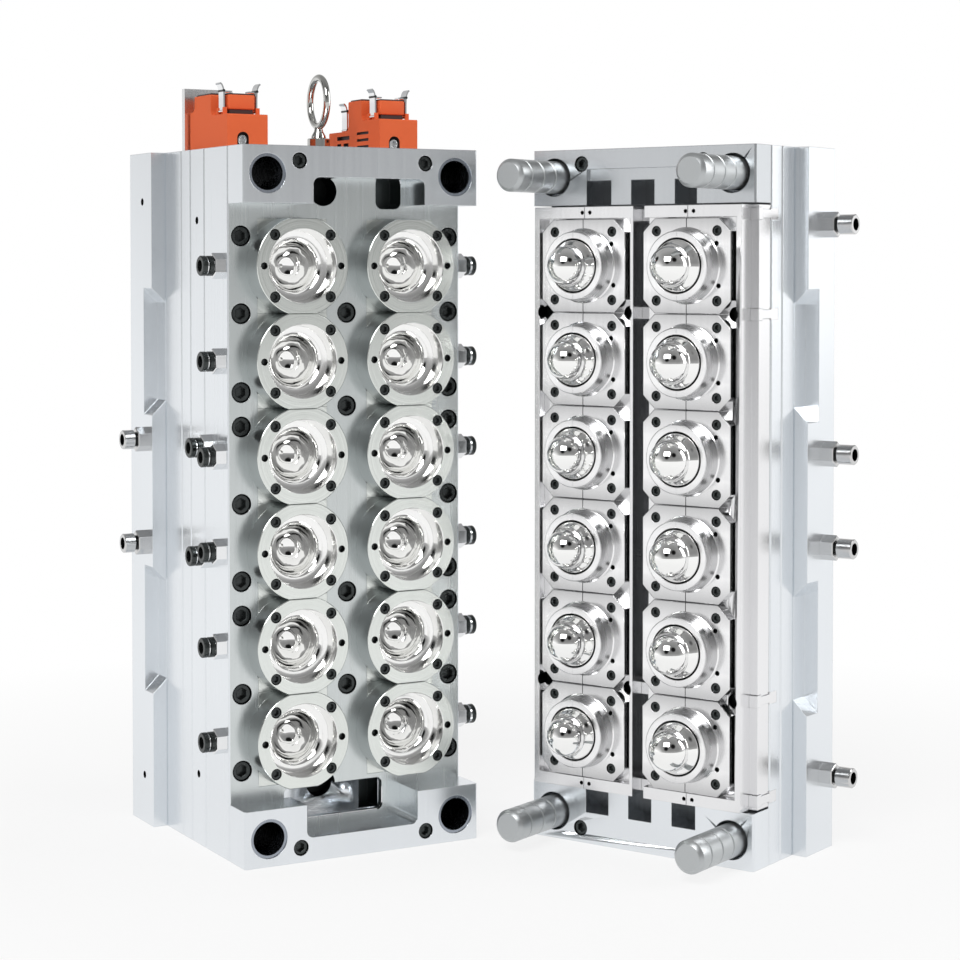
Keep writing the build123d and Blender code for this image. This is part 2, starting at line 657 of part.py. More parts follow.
def neck_half(column, side, z):
    """Half of a neck ring: a flat block with half of the locking cone."""
    face = -PARTING_STEP
    tip = -NECK_TIP
    bore = NECK_BORE_DIA / 2
    rim = CONE_FLOOR_DIA / 2 - NECK_CONE_FIT
    root = CONE_MOUTH_DIA / 2 - NECK_CONE_FIT
    cone = turned(column, z, [(bore, NECK_BACK), (bore, tip), (rim, tip), (root, face), (root, NECK_BACK)])
    half = NECK_WIDTH / 2
    tall = (ROW_PITCH - NECK_SEAM) / 2
    flat = block(column - half, column + half, face, NECK_BACK, z - tall, z + tall)
    flat = chamfer(flat.edges().filter_by(Axis.Y), NECK_CHAMFER)
    flat -= rod(column, z, face, NECK_BACK, NECK_BORE_DIA)
    near, far = sorted((column, column + side * NECK_WIDTH))
    return (flat + cone) & block(near, far, tip, NECK_BACK, z - tall, z + tall)


def core(x, z):
    """A core: straight polished shank with a dome tip and a collar inside the neck ring."""
    radius = CORE_DIA / 2
    collar = CORE_COLLAR_DIA / 2
    ledge = CORE_COLLAR_DROP - NECK_TIP
    shoulder = radius - CORE_TIP
    slant = radius * math.sqrt(0.5)
    outline = Plane(origin=(x, 0, z))
    dome = ThreePointArc((0, -CORE_TIP), (slant, shoulder - slant), (radius, shoulder))
    shank = Polyline(
        (radius, shoulder),
        (radius, ledge),
        (collar, ledge),
        (collar, CORE_PLATE_FRONT),
        (0, CORE_PLATE_FRONT),
        (0, -CORE_TIP),
    )
    return revolve(outline * make_face(Curve() + [dome, shank]), Axis((x, 0, z), (0, 1, 0)))


def leader_pin(x, z):
    """A leader pin fixed in the core plate."""
    radius = PIN_DIA / 2
    points = [
        (0, -PIN_PROTRUSION),
        (radius - PIN_CHAMFER, -PIN_PROTRUSION),
        (radius, -PIN_PROTRUSION + PIN_CHAMFER),
        (radius, CORE_PLATE_BACK),
        (0, CORE_PLATE_BACK),
    ]
    return turned(x, z, points)


def core_plate():
    """The plate that holds the cores and the leader pins."""
    body = plate(CORE_PLATE_FRONT, CORE_PLATE_BACK)
    for x, z in GUIDE_POINTS:
        body -= rod(x, z, CORE_PLATE_FRONT, CORE_PLATE_BACK, PIN_DIA)
    return body


def cavity_half():
    """Every node of the cavity half, by name."""
    nodes = {
        "hot_clamp_plate": hot_clamp_plate(),
        "locating_ring": locating_ring(),
        "sprue_bush": sprue_bush(),
        "manifold_frame": frame_plate(REAR_FRAME_BACK, MANIFOLD_FRAME_BACK),
        "rear_frame": frame_plate(NOZZLE_PLATE_BACK, REAR_FRAME_BACK),
        "nozzle_plate": nozzle_plate(),
        "cavity_plate": cavity_plate(),
        "cavity_top_bar": cavity_bar(HEIGHT - BAR_HEIGHT),
        "cavity_bottom_bar": cavity_bar(0),
        "manifold": manifold(),
        "eye_bolt": eye_bolt(),
        "connector_bracket": connector_bracket(),
        "left_connector_base": connector_housing(
            LEFT_CONNECTOR_X, LEFT_CONNECTOR_LENGTH, LEFT_TAIL_LENGTH, LEFT_TAIL_HEIGHT
        ),
        "right_connector_base": connector_housing(
            RIGHT_CONNECTOR_X, RIGHT_CONNECTOR_LENGTH, RIGHT_TAIL_LENGTH, RIGHT_TAIL_HEIGHT
        ),
    }
    for name, x in zip(("left", "right"), COLUMNS):
        nodes[f"{name}_cavity_inserts"] = all_of([cavity_insert(x, z) for z in ROW_HEIGHTS])
    spots = [(x, z) for x in COLUMNS for z in ROW_HEIGHTS]
    nodes["hot_nozzles"] = all_of([nozzle(x, z) for x, z in spots])
    nodes["guide_bushes"] = all_of([guide_bush(x, z) for x, z in GUIDE_POINTS])
    for name, x in (("left", LEFT_CONNECTOR_X), ("right", RIGHT_CONNECTOR_X)):
        nodes[f"{name}_connector_hood"] = connector_hood(x)
        nodes[f"{name}_connector_left_latch"] = latch(x, -1)
        nodes[f"{name}_connector_right_latch"] = latch(x + CONNECTOR_WIDTH, 1)
    length, collar = COUPLING_LENGTH, COUPLING_COLLAR_LENGTH
    middle_heights = [CENTRE_Z - NIPPLE_OFFSET, CENTRE_Z + NIPPLE_OFFSET]
    nodes["left_couplings"] = couplings(0, -1, COUPLING_DEPTH, ROW_HEIGHTS, length, collar)
    nodes["right_couplings"] = couplings(WIDTH, 1, COUPLING_DEPTH, ROW_HEIGHTS, length, collar)
    nodes["rear_couplings"] = couplings(0, -1, REAR_COUPLING_DEPTH, middle_heights, length, collar)
    nodes["clamp_nipples"] = couplings(
        -FLANGE_OVERHANG, -1, NIPPLE_DEPTH, middle_heights, NIPPLE_LENGTH, NIPPLE_COLLAR_LENGTH
    )
    return nodes


def core_half():
    """Every node of the core half, by name."""
    nodes = {
        "core_clamp_plate": clamp_plate(CORE_PLATE_BACK, CORE_CLAMP_BACK),
        "core_plate": core_plate(),
        "stripper_plate": stripper_plate(),
        "core_top_bar": core_bar(HEIGHT - BAR_HEIGHT),
        "core_bottom_bar": core_bar(0),
        "guide_rails": all_of([guide_rail(z) for z in RAIL_HEIGHTS]),
        "leader_pins": all_of([leader_pin(x, z) for x, z in GUIDE_POINTS]),
    }
    for name, x in zip(("left", "right"), COLUMNS):
        nodes[f"{name}_cores"] = all_of([core(x, z) for z in ROW_HEIGHTS])
        for edge, side in (("left", -1), ("right", 1)):
            nodes[f"{name}_column_{edge}_slide"] = slide_bar(x, side)
            rings = [neck_half(x, side, z) for z in ROW_HEIGHTS]
            nodes[f"{name}_column_{edge}_neck_rings"] = all_of(rings)
    heights = [
        CORE_NIPPLE_EDGE,
        CENTRE_Z - CORE_NIPPLE_OFFSET,
        CENTRE_Z + CORE_NIPPLE_OFFSET,
        HEIGHT - CORE_NIPPLE_EDGE,
    ]
    nodes["core_nipples"] = couplings(
        WIDTH + FLANGE_OVERHANG,
        1,
        CORE_NIPPLE_DEPTH,
        heights,
        CORE_NIPPLE_LENGTH,
        NIPPLE_COLLAR_LENGTH,
    )
    return nodes


def core_place():
    """Turns the core half and stands it beside the cavity half."""
    turn = math.radians(CORE_TURN)
    left_x = CORE_CORNER[0] - WIDTH * math.cos(turn)
    left_y = CORE_CORNER[1] - WIDTH * math.sin(turn)
    return Pos(left_x, left_y, 0) * Rot(0, 0, CORE_TURN)


def main():
    os.makedirs("parts", exist_ok=True)
    nodes = cavity_half()
    place = core_place()
    for name, piece in core_half().items():
        nodes[name] = place * piece
    corners = [piece.bounding_box() for piece in nodes.values()]
    low_x = min(box.min.X for box in corners)
    high_x = max(box.max.X for box in corners)
    low_y = min(box.min.Y for box in corners)
    high_y = max(box.max.Y for box in corners)
    centre = Pos(-(low_x + high_x) / 2, -(low_y + high_y) / 2, 0)
    for name, piece in nodes.items():
        export_step(centre * piece, f"parts/{name}.step")


if __name__ == "__main__":
    main()
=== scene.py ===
"""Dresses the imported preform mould: an opened hot cavity half and a core half, side by side.

Each half has its own frame: X across its face, Y into the mould from the front plane of its
bars, Z up from the floor, all in metres. Pieces are built in that frame and then placed.
"""

import json
import math

import bmesh
import bpy
from bpy.props import FloatProperty, FloatVectorProperty, PointerProperty
from mathutils import Matrix, Vector

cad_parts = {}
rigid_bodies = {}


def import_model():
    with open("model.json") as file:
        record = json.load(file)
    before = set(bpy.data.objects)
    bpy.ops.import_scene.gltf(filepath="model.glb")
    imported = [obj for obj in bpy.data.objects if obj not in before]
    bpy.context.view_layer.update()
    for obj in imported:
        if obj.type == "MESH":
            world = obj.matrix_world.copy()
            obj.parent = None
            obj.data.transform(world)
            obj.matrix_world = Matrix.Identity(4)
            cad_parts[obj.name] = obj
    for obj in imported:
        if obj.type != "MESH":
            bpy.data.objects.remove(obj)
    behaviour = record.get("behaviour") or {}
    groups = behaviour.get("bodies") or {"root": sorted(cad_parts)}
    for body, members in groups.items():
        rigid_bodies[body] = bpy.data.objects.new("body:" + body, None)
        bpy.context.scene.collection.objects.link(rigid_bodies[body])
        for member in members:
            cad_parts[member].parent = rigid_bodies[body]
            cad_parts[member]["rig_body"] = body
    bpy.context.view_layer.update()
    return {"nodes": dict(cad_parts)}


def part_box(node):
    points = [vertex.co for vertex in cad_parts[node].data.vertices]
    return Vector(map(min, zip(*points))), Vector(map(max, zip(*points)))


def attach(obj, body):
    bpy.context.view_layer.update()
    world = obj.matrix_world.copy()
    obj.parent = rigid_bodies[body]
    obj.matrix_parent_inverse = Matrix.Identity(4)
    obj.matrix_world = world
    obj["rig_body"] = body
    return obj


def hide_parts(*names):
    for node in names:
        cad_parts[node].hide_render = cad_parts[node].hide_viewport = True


bl_info = {
    "name": "Preform Mould",
    "version": (1, 0, 0),
    "blender": (4, 5, 0),
    "location": "View3D > Sidebar > Preform Mould",
    "description": "Builds the finished pieces of an opened preform mould around its CAD model",
    "category": "Object",
}

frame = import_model()

# The two halves and where they stand
WIDTH = 0.220
HEIGHT = 0.600
COLUMNS = (0.059, 0.161)
ROWS = [0.100 + 0.080 * row for row in range(6)]
GUIDES = [(x, z) for x in (0.022, 0.198) for z in (0.0235, 0.5765)]
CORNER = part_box("cavity_bottom_bar")[0]
CORE_TURN = math.radians(-64.8)
CORE_CORNER = (0.3635, -0.2100)
CAVITY = Matrix.Translation((CORNER.x, CORNER.y, 0))
CORE = (
    CAVITY
    @ Matrix.Translation(
        (
            CORE_CORNER[0] - WIDTH * math.cos(CORE_TURN),
            CORE_CORNER[1] - WIDTH * math.sin(CORE_TURN),
            0,
        )
    )
    @ Matrix.Rotation(CORE_TURN, 4, "Z")
)

# Depths of the faces that pieces sit on
INSERT_FACE = 0.011
PLATE_FACE = 0.033
NECK_FACE = -0.011
NECK_BACK = -0.001


# ---- settings that a user would change ----


class PatternSizes(bpy.types.PropertyGroup):
    """Sizes of the turned cavity and core pieces."""

    insert_diameter: FloatProperty(
        name="Insert Flange Diameter",
        description="Outside diameter of a cavity insert's round flange",
        default=0.084,
        unit="LENGTH",
    )
    insert_height: FloatProperty(
        name="Insert Flange Height",
        description="Height of a flange between the flats that meet its neighbours",
        default=0.0798,
        unit="LENGTH",
    )
    cone_mouth: FloatProperty(
        name="Cone Mouth Diameter",
        description="Diameter of the locking cone at the insert's face",
        default=0.062,
        unit="LENGTH",
    )
    cone_floor: FloatProperty(
        name="Cone Floor Diameter",
        description="Diameter of the locking cone at its floor",
        default=0.0585,
        unit="LENGTH",
    )
    bore: FloatProperty(
        name="Cavity Bore Diameter",
        description="Diameter of the polished cavity",
        default=0.041,
        unit="LENGTH",
    )
    core_diameter: FloatProperty(
        name="Core Diameter",
        description="Diameter of a polished core",
        default=0.034,
        unit="LENGTH",
    )
    core_reach: FloatProperty(
        name="Core Reach",
        description="How far a core's tip stands out of the bars' front plane",
        default=0.054,
        unit="LENGTH",
    )
    neck_width: FloatProperty(
        name="Neck Block Width",
        description="Width of a pair of neck ring halves",
        default=0.084,
        unit="LENGTH",
    )
    neck_height: FloatProperty(
        name="Neck Block Height",
        description="Height of a neck ring block",
        default=0.0795,
        unit="LENGTH",
    )
    neck_bore: FloatProperty(
        name="Neck Ring Bore",
        description="Diameter of the opening round a core",
        default=0.047,
        unit="LENGTH",
    )


class FastenerSizes(bpy.types.PropertyGroup):
    """Sizes of the screws, dowels and small holes."""

    plate_screw: FloatProperty(
        name="Plate Screw Pocket",
        description="Diameter of the pockets for the plate screws",
        default=0.0175,
        unit="LENGTH",
    )
    bar_screw: FloatProperty(
        name="Bar Screw Pocket",
        description="Diameter of the pockets for the bar screws",
        default=0.0135,
        unit="LENGTH",
    )
    insert_screw: FloatProperty(
        name="Insert Screw Pocket",
        description="Diameter of the pockets for the insert screws",
        default=0.0095,
        unit="LENGTH",
    )
    dowel: FloatProperty(
        name="Dowel Hole",
        description="Diameter of the dowel holes beside the cones",
        default=0.006,
        unit="LENGTH",
    )
    neck_screw: FloatProperty(
        name="Neck Ring Screw Pocket",
        description="Diameter of the pockets for the neck ring screws",
        default=0.0088,
        unit="LENGTH",
    )
    side_hole: FloatProperty(
        name="Side Hole",
        description="Diameter of the tapped holes in the plates' sides",
        default=0.0065,
        unit="LENGTH",
    )


class MouldColours(bpy.types.PropertyGroup):
    """Base colours of the finishes."""

    plate_steel: FloatVectorProperty(
        name="Plate Steel",
        description="Colour of the ground mould plates",
        default=(0.80, 0.83, 0.86),
        subtype="COLOR",
        min=0,
        max=1,
    )
    # Face steel is set darker than the plate steel: painted shade on the front faces.
    face_steel: FloatVectorProperty(
        name="Face Steel",
        description="Colour of the ground steel round the cavities",
        default=(0.72, 0.76, 0.76),
        subtype="COLOR",
        min=0,
        max=1,
    )
    core_steel: FloatVectorProperty(
        name="Core Side Steel",
        description="Colour of the neck rings, slides and rails",
        default=(0.82, 0.82, 0.83),
        subtype="COLOR",
        min=0,
        max=1,
    )
    mirror_steel: FloatVectorProperty(
        name="Mirror Steel",
        description="Colour of the polished cores and cavities",
        default=(0.93, 0.93, 0.92),
        subtype="COLOR",
        min=0,
        max=1,
    )
    pin_steel: FloatVectorProperty(
        name="Pin Steel",
        description="Colour of the leader pins",
        default=(0.44, 0.45, 0.47),
        subtype="COLOR",
        min=0,
        max=1,
    )
    black_steel: FloatVectorProperty(
        name="Black Steel",
        description="Colour of the blackened screws",
        default=(0.045, 0.050, 0.050),
        subtype="COLOR",
        min=0,
        max=1,
    )
    hood: FloatVectorProperty(
        name="Hood Plastic",
        description="Colour of the connector housings",
        default=(1.0, 0.115, 0.025),
        subtype="COLOR",
        min=0,
        max=1,
    )


class StudioSettings(bpy.types.PropertyGroup):
    """The floor and the lights."""

    floor: FloatVectorProperty(
        name="Floor",
        description="Colour of the floor",
        default=(0.93, 0.93, 0.93),
        subtype="COLOR",
        min=0,
        max=1,
    )
    key_power: FloatProperty(
        name="Key Light",
        description="Power of the large light at the upper left",
        default=42.0,
        unit="POWER",
    )
    fill_power: FloatProperty(
        name="Fill Light",
        description="Power of the light at the right",
        default=18.0,
        unit="POWER",
    )


# ---- shapes ----


def hexagon(across_flats):
    """The radius of a hexagon at an angle."""

    def radius(angle):
        step = math.pi / 3
        return across_flats / 2 / math.cos((angle + step / 2) % step - step / 2)

    return radius


def flatted(diameter, height):
    """The radius of a disc with a flat at its top and its bottom."""

    def radius(angle):
        rise = abs(math.sin(angle))
        return min(diameter / 2, height / 2 / rise) if rise > 1e-6 else diameter / 2

    return radius


def block_outline(width, height, corner):
    """The radius of a rectangle with chamfered corners."""

    def radius(angle):
        run, rise = abs(math.cos(angle)), abs(math.sin(angle))
        limits = [(width + height - 2 * corner) / 2 / (run + rise)]
        if run > 1e-6:
            limits.append(width / 2 / run)
        if rise > 1e-6:
            limits.append(height / 2 / rise)
        return min(limits)

    return radius


def shrunk(outline, amount):
    """An outline moved inwards."""
    return lambda angle: outline(angle) - amount


def block_angles(width, height, corner):
    """The angles of a chamfered rectangle's corners."""
    first = math.atan2(height / 2 - corner, width / 2)
    second = math.atan2(height / 2, width / 2 - corner)
    return [
        angle
        for base in (first, second)
        for angle in (base, math.pi - base, math.pi + base, 2 * math.pi - base)
    ]


def flat_angles(diameter, height):
    """The angles at which a disc's flats begin and end."""
    base = math.asin(height / diameter)
    return [base, math.pi - base, math.pi + base, 2 * math.pi - base]


def angles_between(start, end, steps, extra=()):
    """Even angles from start to end, with extra ones for corners."""
    even = [start + (end - start) * i / steps for i in range(steps + 1)]
    found = list(even)
    for angle in extra:
        for turn in (-2 * math.pi, 0, 2 * math.pi):
            moved = angle + turn
            if start < moved < end and min(abs(moved - a) for a in even) > 1e-4:
                found.append(moved)
    return sorted(found)


def section_point(ring, angle):
    """A ring's point at an angle: X and Z from its radius, Y from its depth."""
    size, depth = ring[0], ring[1]
    radius = size(angle) if callable(size) else size
    return Vector((radius * math.cos(angle), depth, radius * math.sin(angle)))


def turned(bm, rings, steps=72, extra=(), arc=None, at=(0, 0, 0), finish=0):
    """Sweeps a closed section round the Y axis. A ring is (radius, depth) or (radius, depth,
    finish of the band that follows), and its radius may follow an outline. An arc leaves a
    part of the turn, closed by its two cut faces."""
    whole = arc is None
    start, end = (0, 2 * math.pi) if whole else arc
    angles = angles_between(start, end, steps, extra)
    if whole:
        angles = angles[:-1]
    offset = Vector(at)
    columns = []
    for angle in angles:
        column = []
        for index, ring in enumerate(rings):
            on_axis = not callable(ring[0]) and ring[0] == 0
            if on_axis and columns:
                column.append(columns[0][index])
            else:
                column.append(bm.verts.new(section_point(ring, angle) + offset))
        columns.append(column)
    count = len(rings)
    pairs = list(zip(columns, columns[1:]))
    if whole:
        pairs.append((columns[-1], columns[0]))
    for first, second in pairs:
        for index, ring in enumerate(rings):
            following = (index + 1) % count
            corners = [first[index], first[following], second[following], second[index]]
            kept = list(dict.fromkeys(corners))
            if len(kept) > 2:
                face = bm.faces.new(kept)
                face.material_index = ring[2] if len(ring) > 2 else finish
    if not whole:
        for column in (columns[0], columns[-1]):
            kept = list(dict.fromkeys(column))
            bm.faces.new(kept).material_index = finish
    return bm


def slab(bm, low, high, finish=0):
    """A box between two corners."""
    made = bmesh.ops.create_cube(bm, size=1)["verts"]
    low, high = Vector(low), Vector(high)
    size = high - low
    for vert in made:
        vert.co = Vector(
            (
                low.x + (vert.co.x + 0.5) * size.x,
                low.y + (vert.co.y + 0.5) * size.y,
                low.z + (vert.co.z + 0.5) * size.z,
            )
        )
    for face in {face for vert in made for face in vert.link_faces}:
        face.material_index = finish
    return made


def broken_slab(bm, low, high, ease, finish=0, segments=2):
    """A box whose edges are rounded over."""
    made = slab(bm, low, high, finish)
    edges = {edge for vert in made for edge in vert.link_edges}
    bmesh.ops.bevel(
        bm,
        geom=list(edges),
        offset=ease,
        segments=segments,
        profile=0.5,
        affect="EDGES",
        material=finish,
    )


def plug(bm, x, z, near, far, diameter, steps=40, finish=0):
    """A plain cylinder along Y, used to cut pockets."""
    radius = diameter / 2
    rings = [(0, near), (radius, near), (radius, far), (0, far)]
    turned(bm, rings, steps, at=(x, 0, z), finish=finish)


def cap_screw(bm, x, z, face, diameter, sunk=0.0012, finish=0):
    """A socket head cap screw in its pocket, with a hexagon socket."""
    head = diameter / 2 - 0.0004
    socket = hexagon(diameter * 0.50)
    top = face + sunk
    ease = diameter * 0.05
    rings = [
        (0, top + diameter * 0.30),
        (socket, top + diameter * 0.30),
        (socket, top + ease * 0.6),
        (lambda angle: socket(angle) + ease * 0.6, top),
        (head - ease, top),
        (head, top + ease),
        (head, top + diameter * 0.55),
        (0, top + diameter * 0.55),
    ]
    corners = [math.pi / 6 + math.pi / 3 * i for i in range(6)]
    turned(bm, rings, 36, corners, at=(x, 0, z), finish=finish)


def prism(bm, outline, near, far, finish=0):
    """A straight piece along Y from an outline of (x, z) points."""
    fronts = [bm.verts.new((x, near, z)) for x, z in outline]
    backs = [bm.verts.new((x, far, z)) for x, z in outline]
    count = len(outline)
    made = [bm.faces.new(fronts), bm.faces.new(list(reversed(backs)))]
    for index in range(count):
        following = (index + 1) % count
        made.append(
            bm.faces.new([fronts[index], backs[index], backs[following], fronts[following]])
        )
    for face in made:
        face.material_index = finish


def bent_strip(bm, path, thickness, near, far, finish=0):
    """A strip along Y that follows a path of (x, z) points."""
    left, right = [], []
    for index, point in enumerate(path):
        before = Vector(path[max(index - 1, 0)])
        after = Vector(path[min(index + 1, len(path) - 1)])
        run = (after - before).normalized()
        across = Vector((-run.y, run.x)) * thickness / 2
        left.append(tuple(Vector(point) + across))
        right.append(tuple(Vector(point) - across))
    prism(bm, left + right[::-1], near, far, finish)


def arch(x, foot, width, height, steps=12):
    """The outline of an arched opening that stands on its foot."""
    half = width / 2
    middle = foot + height - half
    points = [(x + half, foot)]
    for i in range(steps + 1):
        swing = math.pi * i / steps
        points.append((x + half * math.cos(swing), middle + half * math.sin(swing)))
    points.append((x - half, foot))
    return points


def rounded(left, right, low, high, radius, steps=8):
    """The outline of a rectangle with rounded corners, from its right side upwards."""
    points = []
    for x, z, start in (
        (right - radius, high - radius, 0),
        (left + radius, high - radius, 90),
        (left + radius, low + radius, 180),
        (right - radius, low + radius, 270),
    ):
        for i in range(steps + 1):
            swing = math.radians(start + 90 * i / steps)
            points.append((x + radius * math.cos(swing), z + radius * math.sin(swing)))
    return points


def add_part(bm, part, place):
    """Moves a part to its place and adds it to a piece under construction."""
    part.transform(place)
    mesh = bpy.data.meshes.new("part")
    part.to_mesh(mesh)
    part.free()
    bm.from_mesh(mesh)
    bpy.data.meshes.remove(mesh)


def side_plug(bm, y, z, near, far, diameter):
    """A plain cylinder along X, used to cut holes into the sides."""
    part = bmesh.new()
    plug(part, 0, 0, near, far, diameter, 28)
    add_part(bm, part, Matrix.Translation((0, y, z)) @ Matrix.Rotation(math.radians(-90), 4, "Z"))


def tidy(bm):
    """Joins doubled points and makes the faces look outwards."""
    bmesh.ops.remove_doubles(bm, verts=bm.verts, dist=1e-7)
    bmesh.ops.recalc_face_normals(bm, faces=bm.faces)


def mesh_of(name, bm, materials, sharp=30):
    """Turns a bmesh into a smooth mesh that keeps its hard edges."""
    tidy(bm)
    mesh = bpy.data.meshes.new(name)
    bm.to_mesh(mesh)
    bm.free()
    finish_mesh(mesh, materials, sharp)
    return mesh


def finish_mesh(mesh, materials, sharp=30):
    """Gives a mesh its materials and its smooth shading."""
    kinds = [face.material_index for face in mesh.polygons]
    mesh.materials.clear()
    for material in materials:
        mesh.materials.append(material)
    mesh.polygons.foreach_set("material_index", kinds)
    mesh.shade_smooth()
    mesh.set_sharp_from_angle(angle=math.radians(sharp))


def add_piece(name, mesh, place, body, stands_for=()):
    """Puts a mesh into the scene, on a body, in place of CAD nodes."""
    piece = bpy.data.objects.new(name, mesh)
    bpy.context.scene.collection.objects.link(piece)
    piece.matrix_world = place
    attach(piece, body)
    if stands_for:
        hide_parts(*stands_for)
    return piece


def carved(mesh, cutter, materials, sharp=30):
    """A mesh less a cutter's solids."""
    target = bpy.data.objects.new("carving_target", mesh)
    tool = bpy.data.objects.new("carving_tool", cutter)
    for each in (target, tool):
        bpy.context.scene.collection.objects.link(each)
    cut = target.modifiers.new("Pockets", "BOOLEAN")
    cut.operation = "DIFFERENCE"
    cut.solver = "EXACT"
    cut.material_mode = "INDEX"
    cut.object = tool
    depsgraph = bpy.context.evaluated_depsgraph_get()
    made = bpy.data.meshes.new_from_object(target.evaluated_get(depsgraph))
    made.name = mesh.name
    for each in (target, tool):
        bpy.data.objects.remove(each)
    finish_mesh(made, materials, sharp)
    return made


def cut_pockets(node, cutter, place):
    """Cuts pockets into what a CAD node shows. The node's own mesh stays as it is."""
    target = frame["nodes"][node]
    tool = bpy.data.objects.new(node + "_pockets", cutter)
    bpy.context.scene.collection.objects.link(tool)
    tool.matrix_world = place
    tool.hide_render = True
    tool.hide_viewport = True
    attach(tool, target["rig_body"])
    weld = target.modifiers.new("Weld", "WELD")
    weld.merge_threshold = 1e-6
    cut = target.modifiers.new("Pockets", "BOOLEAN")
    cut.operation = "DIFFERENCE"
    cut.solver = "EXACT"
    cut.material_mode = "TRANSFER"
    cut.object = tool


# ---- finishes ----


def new_finish(name, colour, metallic, roughness):
    """A material with one shader, and the tools to wire it."""
    material = bpy.data.materials.get(name)
    if material:
        return material, None, None, None
    material = bpy.data.materials.new(name)
    material.use_nodes = True
    tree = material.node_tree
    shader = tree.nodes["Principled BSDF"]
    shader.inputs["Base Color"].default_value = (*colour, 1)
    shader.inputs["Metallic"].default_value = metallic
    shader.inputs["Roughness"].default_value = roughness
    return material, tree.nodes, tree.links, shader


def grain(nodes, links, turn, scale, size, detail=4):
    """A noise stretched along one direction of the piece, turned about Z with its half."""
    where = nodes.new("ShaderNodeTexCoord")
    mapping = nodes.new("ShaderNodeMapping")
    mapping.vector_type = "TEXTURE"
    mapping.inputs["Rotation"].default_value = (0, 0, turn)
    mapping.inputs["Scale"].default_value = scale
    links.new(where.outputs["Object"], mapping.inputs["Vector"])
    noise = nodes.new("ShaderNodeTexNoise")
    noise.inputs["Scale"].default_value = size
    noise.inputs["Detail"].default_value = detail
    links.new(mapping.outputs["Vector"], noise.inputs["Vector"])
    return noise.outputs["Fac"]


def spread(nodes, links, value, low, high, start=0.3, end=0.7):
    """Maps a value to a range."""
    ranged = nodes.new("ShaderNodeMapRange")
    ranged.inputs["From Min"].default_value = start
    ranged.inputs["From Max"].default_value = end
    ranged.inputs["To Min"].default_value = low
    ranged.inputs["To Max"].default_value = high
    links.new(value, ranged.inputs["Value"])
    return ranged.outputs["Result"]


def blend(nodes, links, value, first, second, target):
    """Goes from one colour to another along a value."""
    mix = nodes.new("ShaderNodeMix")
    mix.data_type = "RGBA"
    for key, colour in (("A", first), ("B", second)):
        if isinstance(colour, tuple):
            mix.inputs[key].default_value = (*[min(1, c) for c in colour], 1)
        else:
            links.new(colour, mix.inputs[key])
    links.new(value, mix.inputs["Factor"])
    if target is not None:
        links.new(mix.outputs["Result"], target)
    return mix.outputs["Result"]


def shade(colour, amount):
    """A colour made darker or lighter."""
    return tuple(c * amount for c in colour)


def relief(nodes, links, shader, layers, edge=0.0):
    """Raises noises as fine relief, as (value, strength, depth), over slightly rounded edges."""
    normal = None
    if edge:
        rounded = nodes.new("ShaderNodeBevel")
        rounded.samples = 4
        rounded.inputs["Radius"].default_value = edge
        normal = rounded.outputs["Normal"]
    for value, strength, depth in layers:
        bump = nodes.new("ShaderNodeBump")
        bump.inputs["Strength"].default_value = strength
        bump.inputs["Distance"].default_value = depth
        links.new(value, bump.inputs["Height"])
        if normal:
            links.new(normal, bump.inputs["Normal"])
        normal = bump.outputs["Normal"]
    links.new(normal, shader.inputs["Normal"])


def ground_steel(name, colour, turn=0.0, rough=(0.22, 0.27), edge=0.0007, behind=None):
    """Surface-ground steel: faint upright grinding lines over a soft cloudy sheen. Behind a
    depth, as (direction, start, end, colour), it takes another colour."""
    material, nodes, links, shader = new_finish(name, colour, 1.0, sum(rough) / 2)
    if shader is None:
        return material
    lines = grain(nodes, links, turn, (0.012, 0.012, 1.5), 5, 3)
    clouds = grain(nodes, links, turn, (1, 1, 2), 7, 2)
    surface = blend(nodes, links, clouds, shade(colour, 0.93), shade(colour, 1.06), None)
    # This depth mask paints shade: the stripper's dark front, the bushes' dark depths, the cavity face's
    # darker tone.
    if behind:
        direction, start, end, other = behind
        where = nodes.new("ShaderNodeTexCoord")
        depth = nodes.new("ShaderNodeVectorMath")
        depth.operation = "DOT_PRODUCT"
        depth.inputs[1].default_value = direction
        links.new(where.outputs["Object"], depth.inputs[0])
        share = spread(nodes, links, depth.outputs["Value"], 0, 1, start, end)
        surface = blend(nodes, links, share, surface, other, None)
    links.new(surface, shader.inputs["Base Color"])
    links.new(spread(nodes, links, lines, *rough), shader.inputs["Roughness"])
    waves = grain(nodes, links, turn, (1, 1, 1.6), 6, 1)
    relief(nodes, links, shader, ((waves, 0.22, 0.0015), (lines, 0.010, 0.0002)), edge)
    return material


def ring_distance(nodes, links):
    """The distance from a turned piece's own axis."""
    where = nodes.new("ShaderNodeTexCoord")
    flat = nodes.new("ShaderNodeVectorMath")
    flat.operation = "MULTIPLY"
    flat.inputs[1].default_value = (1, 0, 1)
    links.new(where.outputs["Object"], flat.inputs[0])
    length = nodes.new("ShaderNodeVectorMath")
    length.operation = "LENGTH"
    links.new(flat.outputs["Vector"], length.inputs[0])
    return length.outputs["Value"]


